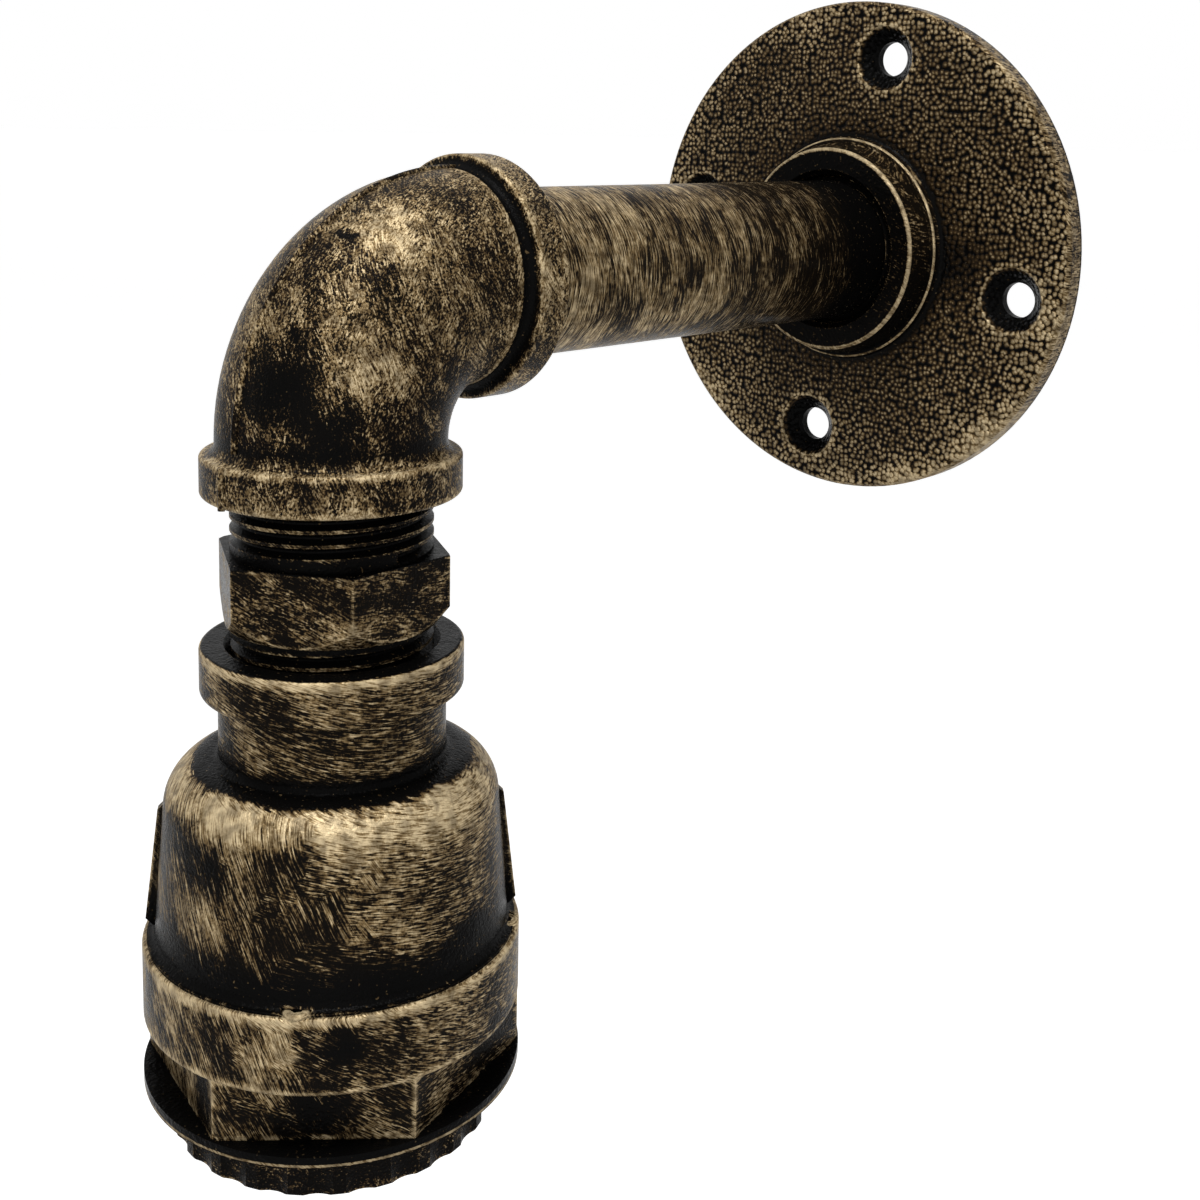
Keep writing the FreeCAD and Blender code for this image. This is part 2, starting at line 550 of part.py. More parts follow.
def make_elbow():
    body = new_body("elbow")
    spine = new_sketch(body, "Spine", "YZ_Plane")
    draw_elbow_spine(spine)
    doc.recompute()
    sweep_round(body, "BodyBend", spine, "elbow_body_radius", "PartDesign::AdditivePipe")
    elbow_socket(body, "LowerBand", "XY_Plane", "-elbow_reach", "band_radius", "band_width")
    elbow_socket(body, "WallBand", "XZ_Plane", "-elbow_reach", "band_radius", "band_width")
    band_root = "elbow_reach - band_width"
    finish_band_edges(body, "BandRoots", "PartDesign::Fillet", "Radius", "band_root_round",
                      "elbow_body_radius", band_root)
    finish_band_edges(body, "BandUpperEdges", "PartDesign::Fillet", "Radius", "band_edge_round",
                      "band_radius", band_root)
    finish_band_edges(body, "BandLowerEdges", "PartDesign::Fillet", "Radius", "band_edge_round",
                      "band_radius", "elbow_reach")
    sweep_round(body, "Waterway", spine, "elbow_bore", "PartDesign::SubtractivePipe")
    elbow_socket(body, "LowerSocket", "XY_Plane", "-elbow_reach", SOCKET_BORE,
                 "nipple_engagement + socket_relief", "PartDesign::Pocket")
    elbow_socket(body, "WallSocket", "XZ_Plane", "-elbow_reach", SOCKET_BORE,
                 "arm_engagement + socket_relief", "PartDesign::Pocket")
    finish_band_edges(body, "SocketMouths", "PartDesign::Chamfer", "Size", "thread_lead_in",
                      SOCKET_BORE, "elbow_reach")
    return body


def make_hex_nipple():
    body = new_body("hex_nipple")
    top = "(-elbow_reach + nipple_engagement)"
    foot = f"({BELL_TOP} - nipple_engagement)"
    root = "(thread_radius - thread_depth)"
    flat = "(nipple_hex_flats / 2)"
    corner = "(nipple_hex_flats / 2 / cos(30))"
    turned(body, "NippleTurned", [
        ("nipple_bore", top),
        (root, top),
        ("thread_radius", f"{top} - thread_depth"),
        ("thread_radius", f"{foot} + thread_depth"),
        (root, foot),
        ("nipple_bore", foot),
    ])
    hexagon = new_sketch(body, "Hexagon", "XY_Plane", NIPPLE_HEX_TOP)
    draw_hexagon(hexagon, "nipple_hex_flats", "nipple_hex_clock")
    draw_circle(hexagon, "0", "0", "thread_radius - thread_depth / 2")
    doc.recompute()
    extruded(body, "HexPad", hexagon, "nipple_hex_height", reverse=True)
    run = "(nipple_top_bevel * nipple_bevel_slope)"
    turned(body, "HexTopBevel", [
        (f"{corner} - {run}", NIPPLE_HEX_TOP),
        (f"{corner} + {run}", f"{NIPPLE_HEX_TOP} - nipple_top_bevel * 2"),
        (f"{corner} + {run}", f"{NIPPLE_HEX_TOP} + nipple_top_bevel"),
        (f"{corner} - {run}", f"{NIPPLE_HEX_TOP} + nipple_top_bevel"),
    ], "PartDesign::Groove")
    turned(body, "HexFootCone", [
        (flat, NIPPLE_HEX_FOOT),
        (f"2 * {corner} - {flat}", f"{NIPPLE_HEX_FOOT} + 2 * nipple_cone_height"),
        (f"2 * {corner} - {flat}", f"{NIPPLE_HEX_FOOT} - nipple_cone_height"),
        (flat, f"{NIPPLE_HEX_FOOT} - nipple_cone_height"),
    ], "PartDesign::Groove")
    cut_thread(body, "LowerThread", "thread_radius", "thread_depth", "thread_pitch",
               f"{foot} - thread_pitch", f"{NIPPLE_HEX_FOOT} - {foot} + thread_pitch / 2")
    cut_thread(body, "UpperThread", "thread_radius", "thread_depth", "thread_pitch",
               f"{NIPPLE_HEX_TOP} + thread_pitch / 2", f"{top} - {NIPPLE_HEX_TOP} + thread_pitch")
    return body


# ---------------------------------------------------------------- bell and base

def make_bell_housing():
    body = new_body("bell_housing")
    body.Placement.Rotation = FreeCAD.Rotation(FreeCAD.Vector(0, 0, 1), number("rib_clock"))
    bind(body, "Placement.Rotation.Angle", "rib_clock")
    inner_shoulder = f"({NECK_ROOT} - shoulder_round - bell_wall / 2)"
    flare_top = f"({SEAM} + bell_flare_height)"
    flare_radius = f"({BELL_FOOT_RADIUS} + bell_flare)"
    turned(body, "BellTurned", [
        (SOCKET_BORE, BELL_TOP),
        ("bell_collar_radius", BELL_TOP),
        ("bell_collar_radius", COLLAR_FOOT),
        ("neck_radius", COLLAR_FOOT),
        ("neck_radius", NECK_ROOT),
        ("shoulder_radius", NECK_ROOT),
        (BELL_FOOT_RADIUS, flare_top),
        (flare_radius, flare_top),
        (flare_radius, SEAM),
        (SPIGOT_RADIUS, SEAM),
        (SPIGOT_RADIUS, SPIGOT_FOOT),
        (f"{SPIGOT_RADIUS} - spigot_wall", SPIGOT_FOOT),
        (f"{SPIGOT_RADIUS} - spigot_wall", SEAM),
        ("shoulder_radius - bell_wall", inner_shoulder),
        ("neck_radius - bell_wall", NECK_ROOT),
        (TUBE_HOLE, NECK_ROOT),
        (TUBE_HOLE, WEB_TOP),
        (SOCKET_BORE, WEB_TOP),
    ])
    round_edges(body, "Shoulder", "shoulder_round", [("shoulder_radius", NECK_ROOT)])
    round_edges(body, "NeckRoot", "neck_root_round", [("neck_radius", NECK_ROOT)])
    round_edges(body, "FootFlare", "bell_flare_round", [(BELL_FOOT_RADIUS, flare_top)])
    round_edges(body, "CollarMouth", "thread_lead_in", [(SOCKET_BORE, BELL_TOP)], "PartDesign::Chamfer")
    round_edges(body, "CollarEdges", "bell_collar_round", [
        ("bell_collar_radius", BELL_TOP),
        ("bell_collar_radius", COLLAR_FOOT),
    ])
    add_bell_ribs(body)
    notch_for_lock_screws(body)
    return body


def add_bell_ribs(body):
    """Two thin vertical ribs on opposite sides, along the casting's parting plane."""
    rib_top = f"({NECK_ROOT} - rib_top_drop)"
    rib_foot = f"({SEAM} + rib_foot_rise)"
    sketch = new_sketch(body, "RibOutline")
    draw_outline(sketch, [
        ("shoulder_radius - bell_wall / 2", rib_top),
        ("shoulder_radius - rib_height / 2", rib_top),
        ("shoulder_radius + rib_height", f"{rib_top} - rib_top_slope"),
        (f"{BELL_FOOT_RADIUS} + rib_height", f"{rib_foot} + rib_foot_slope"),
        (BELL_FOOT_RADIUS, rib_foot),
        (f"{BELL_FOOT_RADIUS} - bell_wall / 2", rib_foot),
    ])
    doc.recompute()
    rib = extruded(body, "Rib", sketch, "rib_width", midplane=True)
    repeated(body, "Ribs", rib, 2)


def ring_of_circles(body, name, offset, radius, clock):
    """A sketch with one circle at each lock screw's place."""
    sketch = new_sketch(body, name, "XY_Plane", offset)
    for index in range(LOCK_SCREWS):
        angle = f"({clock} + {index * FULL_TURN / LOCK_SCREWS})"
        draw_circle(sketch, f"{LOCK_SCREW_REACH} * cos({angle})", f"{LOCK_SCREW_REACH} * sin({angle})", radius)
    doc.recompute()
    return sketch


def notch_for_lock_screws(body):
    """The lock screws lie in the seam, so their shanks notch the bell's spigot and their heads its foot."""
    clock = "(lock_screw_clock - rib_clock)"
    deep = ring_of_circles(body, "NotchCircles", SEAM, LOCK_SCREW_HOLE, clock)
    extruded(body, "Notches", deep, "spigot_length + socket_relief", "PartDesign::Pocket")
    wide = ring_of_circles(body, "HeadCircles", SEAM, "lock_head_radius + lock_head_room", clock)
    extruded(body, "HeadNotches", wide, "lock_head_height + lock_head_room",
             "PartDesign::Pocket", reverse=True)


def make_hex_base():
    body = new_body("hex_base")
    turned(body, "BaseCollar", [
        (BASE_BORE, SEAM),
        (BASE_RADIUS, SEAM),
        (BASE_RADIUS, BASE_COLLAR_FOOT),
        (BASE_BORE, BASE_COLLAR_FOOT),
    ])
    round_edges(body, "RimRound", "base_edge_round", [(BASE_RADIUS, SEAM), (BASE_RADIUS, BASE_COLLAR_FOOT)])
    hexagon = new_sketch(body, "Hexagon", "XY_Plane", BASE_FOOT)
    draw_hexagon(hexagon, f"(2 * {BASE_FLAT})", "base_hex_clock")
    doc.recompute()
    extruded(body, "HexPad", hexagon, "base_hex_height + 2 * base_edge_round")
    seat = f"({SPIGOT_FOOT} - socket_relief)"
    turned(body, "InnerBore", [
        ("0", f"{SEAM} + cut_past"),
        (COUNTERBORE, f"{SEAM} + cut_past"),
        (COUNTERBORE, seat),
        (BASE_BORE, seat),
        (BASE_BORE, f"{BASE_FOOT} + lip_thickness"),
        (LIP_BORE, f"{BASE_FOOT} + lip_thickness"),
        (LIP_BORE, f"{BASE_FOOT} - cut_past"),
        ("0", f"{BASE_FOOT} - cut_past"),
    ], "PartDesign::Groove")
    holes = ring_of_circles(body, "ScrewHoles", SEAM, LOCK_SCREW_HOLE, "lock_screw_clock")
    extruded(body, "ScrewPockets", holes, "lock_screw_length", "PartDesign::Pocket")
    return body


def make_lock_screw(index):
    """A low-headed screw in the seam between bell and base, with a key socket in its head."""
    body = new_body(f"seam_screw_{index + 1}")
    angle = f"(lock_screw_clock + {index * FULL_TURN / LOCK_SCREWS})"
    bind(body, "Placement.Base.x", f"{LOCK_SCREW_REACH} * cos({angle})")
    bind(body, "Placement.Base.y", f"{LOCK_SCREW_REACH} * sin({angle}) - arm_reach")
    top = f"({SEAM} + lock_head_height)"
    foot = f"({SEAM} - lock_screw_length)"
    turned(body, "ScrewTurned", [
        ("0", top),
        ("lock_head_radius - lock_screw_bevel", top),
        ("lock_head_radius", f"{top} - lock_screw_bevel"),
        ("lock_head_radius", SEAM),
        ("lock_screw_radius", SEAM),
        ("lock_screw_radius", f"{foot} + lock_screw_bevel"),
        ("lock_screw_radius - lock_screw_bevel", foot),
        ("0", foot),
    ])
    socket = new_sketch(body, "KeySocket", "XY_Plane", top)
    draw_hexagon(socket, "lock_screw_socket", "0")
    doc.recompute()
    extruded(body, "Socket", socket, "lock_screw_socket_depth", "PartDesign::Pocket")
    return body


# ---------------------------------------------------------------- lampholder

def make_lampholder_cap():
    body = new_body("lampholder_cap")
    knee_radius = "((cap_boss_radius + cap_radius) / 2)"
    turned(body, "CapTurned", [
        (TUBE_HOLE, NECK_ROOT),
        ("cap_boss_radius", NECK_ROOT),
        ("cap_boss_radius", f"{NECK_ROOT} - cap_wall / 2"),
        (knee_radius, f"{NECK_ROOT} - cap_knee_drop"),
        ("cap_radius", CAP_BAND),
        ("cap_radius", f"{CAP_BAND} - cap_band_height"),
        ("cap_thread_radius", f"{CAP_BAND} - cap_band_height"),
        ("cap_thread_radius", CAP_FOOT),
        ("cap_thread_radius - cap_wall", CAP_FOOT),
        ("cap_thread_radius - cap_wall", CAP_BAND),
        (f"{knee_radius} - cap_wall / 2", f"{NECK_ROOT} - cap_knee_drop - cap_wall"),
        ("cap_boss_radius - cap_wall / 2", f"{NECK_ROOT} - cap_roof"),
        ("cap_boss_radius - cap_wall / 2", f"{NECK_ROOT} - tube_grip"),
        (TUBE_HOLE, f"{NECK_ROOT} - tube_grip"),
    ])
    return body


def make_threaded_tube():
    body = new_body("threaded_tube")
    top = f"({NUT_FOOT} + nut_height + tube_rise)"
    foot = f"({NECK_ROOT} - tube_grip)"
    bevel = "((tube_radius - tube_bore) / 2)"
    turned(body, "TubeTurned", [
        ("tube_bore", top),
        (f"tube_radius - {bevel}", top),
        ("tube_radius", f"{top} - {bevel}"),
        ("tube_radius", f"{foot} + {bevel}"),
        (f"tube_radius - {bevel}", foot),
        ("tube_bore", foot),
    ])
    return body


def make_lock_nut():
    body = new_body("lock_nut")
    sketch = new_sketch(body, "NutOutline", "XY_Plane", NUT_FOOT)
    draw_hexagon(sketch, "nut_flats", "0")
    draw_circle(sketch, "0", "0", TUBE_HOLE)
    doc.recompute()
    extruded(body, "NutPad", sketch, "nut_height")
    return body


def make_earth_tag():
    """A ring under the lock nut, whose tab turns up into a crimp barrel for the earth lead."""
    body = new_body("earth_tag")
    turned(body, "Ring", [
        (TUBE_HOLE, WEB_TOP),
        ("tag_radius", WEB_TOP),
        ("tag_radius", NUT_FOOT),
        (TUBE_HOLE, NUT_FOOT),
    ])
    tab = new_sketch(body, "TabOutline", "XY_Plane", WEB_TOP)
    draw_outline(tab, [
        ("-tag_tab_width / 2", "tag_radius - tag_tab_width / 2"),
        ("tag_tab_width / 2", "tag_radius - tag_tab_width / 2"),
        ("tag_tab_width / 2", "earth_offset + tag_barrel_radius"),
        ("-tag_tab_width / 2", "earth_offset + tag_barrel_radius"),
    ])
    doc.recompute()
    extruded(body, "Tab", tab, "tag_thickness")
    barrel = new_sketch(body, "BarrelCircle", "XY_Plane", NUT_FOOT)
    draw_circle(barrel, "0", "earth_offset", "tag_barrel_radius")
    draw_circle(barrel, "0", "earth_offset", "conductor_radius + tube_fit")
    doc.recompute()
    extruded(body, "Barrel", barrel, "tag_barrel_length")
    return body


def make_lampholder_skirt():
    body = new_body("lampholder_skirt")
    thread_hole = "(cap_thread_radius + moulding_gap)"
    bevel = "holder_thread_depth"
    turned(body, "SkirtTurned", [
        (thread_hole, HOLDER_TOP),
        ("holder_radius", HOLDER_TOP),
        ("holder_radius", f"{HOLDER_MOUTH} + {bevel}"),
        (f"holder_radius - {bevel}", HOLDER_MOUTH),
        (f"holder_bore + {bevel}", HOLDER_MOUTH),
        ("holder_bore", f"{HOLDER_MOUTH} + {bevel}"),
        ("holder_bore", INSERT_LEDGE),
        (thread_hole, INSERT_LEDGE),
    ])
    cut_thread(body, "RingThread", "holder_radius", "holder_thread_depth", "holder_thread_pitch",
               f"{HOLDER_MOUTH} - holder_thread_pitch", "ring_height + washer_thickness + holder_thread_pitch")
    return body


def make_lampholder_insert():
    body = new_body("lampholder_insert")
    flange = "(cap_thread_radius - moulding_gap * 2)"
    crown = "(cap_thread_radius - cap_wall - moulding_gap * 4)"
    turned(body, "InsertTurned", [
        ("0", INSERT_TOP),
        (crown, INSERT_TOP),
        (crown, f"{CAP_FOOT} - moulding_gap"),
        (flange, f"{CAP_FOOT} - moulding_gap"),
        (flange, INSERT_LEDGE),
        ("holder_bore - moulding_gap * 2", INSERT_LEDGE),
        ("holder_bore - moulding_gap * 2", INSERT_FLOOR),
        ("0", INSERT_FLOOR),
    ])
    half = "(terminal_size / 2 + pocket_gap)"
    pockets = new_sketch(body, "PocketOutline", "XY_Plane", INSERT_TOP)
    draw_outline(pockets, [
        (f"terminal_offset - {half}", f"-{half}"),
        (f"terminal_offset + {half}", f"-{half}"),
        (f"terminal_offset + {half}", half),
        (f"terminal_offset - {half}", half),
    ])
    doc.recompute()
    pocket = extruded(body, "Pocket", pockets, "pocket_depth", "PartDesign::Pocket")
    repeated(body, "Pockets", pocket, 2)
    holes = new_sketch(body, "RivetHoles", "XY_Plane", INSERT_TOP)
    draw_circle(holes, "-live_rivet_offset", "0", "rivet_radius + screw_clearance")
    draw_circle(holes, "neutral_rivet_offset", "0", "rivet_radius + screw_clearance")
    doc.recompute()
    extruded(body, "RivetPassages", holes, f"{INSERT_TOP} - {INSERT_FLOOR} + cut_past", "PartDesign::Pocket")
    return body


def make_terminal(label, side):
    """A brass block in its pocket, with a wire hole from above and a clamping screw from outside."""
    body = new_body(label)
    block = new_sketch(body, "BlockOutline", "XY_Plane", TERMINAL_FOOT)
    half = "(terminal_size / 2)"
    draw_outline(block, [
        (f"{side} * terminal_offset - {half}", f"-{half}"),
        (f"{side} * terminal_offset + {half}", f"-{half}"),
        (f"{side} * terminal_offset + {half}", half),
        (f"{side} * terminal_offset - {half}", half),
    ])
    doc.recompute()
    extruded(body, "Block", block, "terminal_height")
    wire = new_sketch(body, "WireHole", "XY_Plane", TERMINAL_TOP)
    draw_circle(wire, f"{side} * terminal_hole_offset", "0", "terminal_hole_radius")
    doc.recompute()
    extruded(body, "WirePocket", wire, "terminal_hole_depth", "PartDesign::Pocket")
    outer = f"({side} * (terminal_offset + {half}))"
    screw = new_sketch(body, "ScrewHole", "YZ_Plane", outer)
    draw_circle(screw, "0", f"{TERMINAL_TOP} - terminal_screw_drop", "terminal_screw_radius + screw_clearance")
    doc.recompute()
    extruded(body, "ScrewPocket", screw, "terminal_screw_hole_depth", "PartDesign::Pocket", reverse=side < 0)
    return body


def make_terminal_screw(label, side):
    body = new_body(label)
    height = f"({TERMINAL_TOP} - terminal_screw_drop)"
    face = "(terminal_offset + terminal_size / 2)"
    shank = new_sketch(body, "ShankCircle", "YZ_Plane", f"{side} * {face}")
    draw_circle(shank, "0", height, "terminal_screw_radius")
    doc.recompute()
    reach = "(terminal_offset + terminal_size / 2 - terminal_hole_offset - conductor_radius - screw_clearance)"
    extruded(body, "Shank", shank, reach, reverse=side > 0)
    head = new_sketch(body, "HeadCircle", "YZ_Plane", f"{side} * {face}")
    draw_circle(head, "0", height, "screw_head_radius")
    doc.recompute()
    extruded(body, "Head", head, "screw_head_height", reverse=side < 0)
    slot = new_sketch(body, "SlotOutline", "YZ_Plane", f"{side} * ({face} + screw_head_height)")
    draw_outline(slot, [
        ("-screw_head_radius - cut_past", f"{height} - screw_slot_width / 2"),
        ("screw_head_radius + cut_past", f"{height} - screw_slot_width / 2"),
        ("screw_head_radius + cut_past", f"{height} + screw_slot_width / 2"),
        ("-screw_head_radius - cut_past", f"{height} + screw_slot_width / 2"),
    ])
    doc.recompute()
    extruded(body, "Slot", slot, "screw_slot_depth", "PartDesign::Pocket", reverse=side < 0)
    return body


def make_rivet(label, across, plate):
    """A brass rivet through the insert, from its terminal to the plate it clamps below."""
    body = new_body(label)
    bind(body, "Placement.Base.x", across)
    under = f"({INSERT_FLOOR} - {plate})"
    turned(body, "RivetTurned", [
        ("0", TERMINAL_FOOT),
        ("rivet_radius", TERMINAL_FOOT),
        ("rivet_radius", under),
        ("rivet_head_radius", under),
        ("rivet_head_top", f"{under} - rivet_head_height"),
        ("0", f"{under} - rivet_head_height"),
    ])
    return body


def make_contact_strip():
    """The riveted root of the live contact, under the insert."""
    body = new_body("contact_strip")
    sketch = new_sketch(body, "StripOutline", "XY_Plane", INSERT_FLOOR)
    draw_outline(sketch, [
        ("-live_rivet_offset - strip_width / 2", "-strip_width / 2"),
        ("-contact_root - contact_gap", "-strip_width / 2"),
        ("-contact_root - contact_gap", "strip_width / 2"),
        ("-live_rivet_offset - strip_width / 2", "strip_width / 2"),
    ])
    draw_circle(sketch, "-live_rivet_offset", "0", "rivet_radius + screw_clearance")
    doc.recompute()
    extruded(body, "Strip", sketch, "strip_thickness", reverse=True)
    return body


def make_centre_contact():
    """The spring tongue that the bulb's tip pushes up, bent down from the strip's end."""
    body = new_body("centre_contact")
    sketch = new_sketch(body, "TongueOutline")
    tip_level = f"({INSERT_FLOOR} - contact_drop)"
    draw_outline(sketch, [
        ("-contact_root", f"{INSERT_FLOOR} - strip_thickness / 4"),
        ("0", tip_level),
        ("contact_tip", tip_level),
        ("contact_tip", f"{tip_level} - strip_thickness"),
        ("-strip_thickness / 4", f"{tip_level} - strip_thickness"),
        ("-contact_root", f"{INSERT_FLOOR} - strip_thickness * 5 / 4"),
    ])
    doc.recompute()
    extruded(body, "Tongue", sketch, "strip_width", midplane=True)
    return body


def make_screw_shell():
    body = new_body("screw_shell")
    lip = "(shell_wall / 2)"
    relief_foot = f"({INSERT_FLOOR} - contact_drop - strip_thickness - shell_relief_gap)"
    turned(body, "ShellTurned", [
        ("shell_opening", INSERT_FLOOR),
        ("shell_radius", INSERT_FLOOR),
        ("shell_radius", f"{SHELL_MOUTH} + shell_wall"),
        (f"shell_radius + {lip}", SHELL_MOUTH),
        (f"{SHELL_BORE} + {lip}", SHELL_MOUTH),
        (SHELL_BORE, f"{SHELL_MOUTH} + shell_wall"),
        (SHELL_BORE, relief_foot),
        ("shell_radius - shell_relief_wall", relief_foot),
        ("shell_radius - shell_relief_wall", f"{INSERT_FLOOR} - strip_thickness"),
        ("shell_opening", f"{INSERT_FLOOR} - strip_thickness"),
    ])
    hole = new_sketch(body, "RivetHole", "XY_Plane", INSERT_FLOOR)
    draw_circle(hole, "neutral_rivet_offset", "0", "rivet_radius + screw_clearance")
    doc.recompute()
    extruded(body, "RivetPassage", hole, "strip_thickness", "PartDesign::Pocket")
    return body


def make_shade_washer():
    body = new_body("shade_washer")
    turned(body, "WasherTurned", [
        ("holder_radius + washer_clearance", BASE_FOOT),
        (WASHER_RADIUS, BASE_FOOT),
        (WASHER_RADIUS, WASHER_FOOT),
        ("holder_radius + washer_clearance", WASHER_FOOT),
    ])
    return body


def make_shade_ring():
    body = new_body("shade_ring")
    turned(body, "RingTurned", [
        (RING_BORE, WASHER_FOOT),
        (RING_RADIUS, WASHER_FOOT),
        (RING_RADIUS, RING_FOOT),
        (RING_BORE, RING_FOOT),
    ])
    round_edges(body, "RingEdge", "ring_edge_round", [(RING_RADIUS, RING_FOOT)])
    flute = new_sketch(body, "FluteCircle", "XY_Plane", RING_FOOT)
    draw_circle(flute, f"{FLUTE_REACH} * cos(ring_clock)", f"{FLUTE_REACH} * sin(ring_clock)",
                "ring_flute_radius")
    doc.recompute()
    cut = extruded(body, "Flute", flute, "ring_height", "PartDesign::Pocket", reverse=True)
    repeated(body, "Flutes", cut, "ring_lobes")
    return body


# ---------------------------------------------------------------- leads

def rounded_path(corners, radii):
    """Straight runs joined by tangent arcs, one arc radius for each inner corner."""
    edges = []
    start = corners[0]
    for before, corner, after, radius in zip(corners, corners[1:], corners[2:], radii):
        back = (before - corner).normalize()
        ahead = (after - corner).normalize()
        half_angle = back.getAngle(ahead) / 2
        reach = radius / math.tan(half_angle)
        entry = corner + back * reach
        leave = corner + ahead * reach
        bisector = (back + ahead).normalize()
        middle = corner + bisector * (radius / math.sin(half_angle) - radius)
        edges.append(Part.LineSegment(start, entry).toShape())
        edges.append(Part.Arc(entry, middle, leave).toShape())
        start = leave
    edges.append(Part.LineSegment(start, corners[-1]).toShape())
    return Part.Wire(edges)


def round_tube(path, radius):
    start = path.OrderedEdges[0]
    centre = start.valueAt(start.FirstParameter)
    circle = Part.Wire(Part.Circle(centre, start.tangentAt(start.FirstParameter), radius).toShape())
    return path.makePipeShell([circle], True, False)


def make_lead(label, corners, radii, bare_length):
    """An insulated lead with its stripped end, in the frame of the whole light."""
    insulation = round_tube(rounded_path(corners, radii), number("wire_radius"))
    end = corners[-1]
    ahead = (end - corners[-2]).normalize()
    bare = Part.makeCylinder(number("conductor_radius"), bare_length, end, ahead)
    lead = doc.addObject("Part::Feature", label)
    lead.Label = label
    lead.Shape = insulation.fuse(bare).removeSplitter()
    lead.Placement = FreeCAD.Placement()
    return lead


def lead_start():
    """Where a lead's insulation begins, inside its ferrule's collar near the wall."""
    return -number("ferrule_inset + ferrule_length + ferrule_seat + tube_fit")


def make_lamp_leads():
    leads = []
    for label, side in (("live_wire", -1), ("neutral_wire", 1)):
        across = side * number("wire_spacing")
        aside = side * number("terminal_hole_offset")
        axis = -number("arm_reach")
        end = number(f"{TERMINAL_TOP} + screw_clearance")
        leave = number(f"{NECK_ROOT} - tube_grip + wire_radius")
        set_bend = number("wire_set_bend")
        rise = leave - end
        run = abs(aside - across)
        lean = set_lean(rise, run, set_bend)
        reach = set_bend * math.tan(lean / 2)
        corners = [
            FreeCAD.Vector(across, lead_start(), number(LEAD_LEVEL)),
            FreeCAD.Vector(across, axis, number(LEAD_LEVEL)),
            FreeCAD.Vector(across, axis, leave - reach),
            FreeCAD.Vector(aside, axis, end + reach),
            FreeCAD.Vector(aside, axis, end - FIT_TOLERANCE),
        ]
        leads.append(make_lead(label, corners, [number("wire_bend"), set_bend, set_bend],
                               number("strip_length")))
    return leads


def set_lean(rise, run, bend):
    """The lean of an S bend that steps aside by run while it drops by rise, on two equal arcs."""
    chord = math.hypot(run, rise)
    straight = math.sqrt(max(chord ** 2 - 4 * bend * run, 0.0))
    return 2 * math.atan2(run, rise + straight)


def make_earth_lead():
    level = number(LEAD_LEVEL)
    column = number("earth_offset - arm_reach")
    barrel_top = number(f"{NUT_FOOT} + tag_barrel_length + screw_clearance")
    corners = [
        FreeCAD.Vector(0, lead_start(), level),
        FreeCAD.Vector(0, column, level),
        FreeCAD.Vector(0, column, barrel_top),
    ]
    return make_lead("earth_wire", corners, [number("earth_bend")], number("strip_length"))


def make_ferrule(label, across):
    """A crimped ferrule: a metal pin towards the wall and a collar over the insulation."""
    body = new_body(label, "arm")
    bind(body, "Placement.Base.x", across)
    bind(body, "Placement.Base.z", LEAD_LEVEL)
    shoulder = "(ferrule_inset + ferrule_length)"
    collar = "(wire_radius + ferrule_wall)"
    sleeve = "(wire_radius + screw_clearance / 2)"
    turned(body, "FerruleTurned", [
        ("0", "ferrule_inset"),
        ("ferrule_radius", "ferrule_inset"),
        ("ferrule_radius", f"{shoulder} - ferrule_flare"),
        (collar, shoulder),
        (collar, f"{shoulder} + ferrule_collar"),
        (sleeve, f"{shoulder} + ferrule_collar"),
        (sleeve, f"{shoulder} + ferrule_seat"),
        ("0", f"{shoulder} + ferrule_seat"),
    ])
    return body


# ---------------------------------------------------------------- assembly

def make_parts():
    fill_sheet()
    parts = [make_wall_flange(), make_arm_pipe(), make_elbow(), make_hex_nipple()]
    parts += [make_bell_housing(), make_hex_base()]
    parts += [make_lock_screw(index) for index in range(LOCK_SCREWS)]
    parts += [make_lampholder_cap(), make_threaded_tube(), make_lock_nut(), make_earth_tag()]
    parts += [make_lampholder_skirt(), make_lampholder_insert()]
    for name, side in (("live", -1), ("neutral", 1)):
        parts.append(make_terminal(f"{name}_terminal", side))
        parts.append(make_terminal_screw(f"{name}_terminal_screw", side))
    parts.append(make_rivet("live_rivet", "-live_rivet_offset", "strip_thickness"))
    parts.append(make_rivet("neutral_rivet", "neutral_rivet_offset", "strip_thickness"))
    parts += [make_contact_strip(), make_centre_contact(), make_screw_shell()]
    parts += [make_shade_washer(), make_shade_ring()]
    parts += make_lamp_leads()
    parts.append(make_earth_lead())
    for name, across in (("live", "-wire_spacing"), ("neutral", "wire_spacing"), ("earth", "0")):
        parts.append(make_ferrule(f"{name}_ferrule", across))
    return parts


def check_parts(parts):
    doc.recompute()
    for item in doc.Objects:
        if "Invalid" in item.State or "Error" in item.State:
            raise RuntimeError(f"{item.Name} did not compute: {item.State}")
    for part in parts:
        shape = part.Shape
        if shape.isNull() or not shape.isValid() or not shape.Solids:
            raise RuntimeError(f"{part.Label} has no valid solid")


def write_parts(parts):
    os.makedirs("parts", exist_ok=True)
    for part in parts:
        part.Shape.exportStep(f"parts/{part.Label}.step")
        box = part.Shape.BoundBox
        print(f"{part.Label:24s} solids {len(part.Shape.Solids)}  volume {part.Shape.Volume:9.1f} mm3")
        print(f"    X {box.XMin:.1f}..{box.XMax:.1f}  Y {box.YMin:.1f}..{box.YMax:.1f}")
        print(f"    Z {box.ZMin:.1f}..{box.ZMax:.1f}")


all_parts = make_parts()
check_parts(all_parts)
write_parts(all_parts)
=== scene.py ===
"""Dresses the industrial pipe wall light: rubbed lacquer, cast details, inner parts, stage and camera."""

import math

import bmesh
import bpy
from mathutils import Matrix, Vector


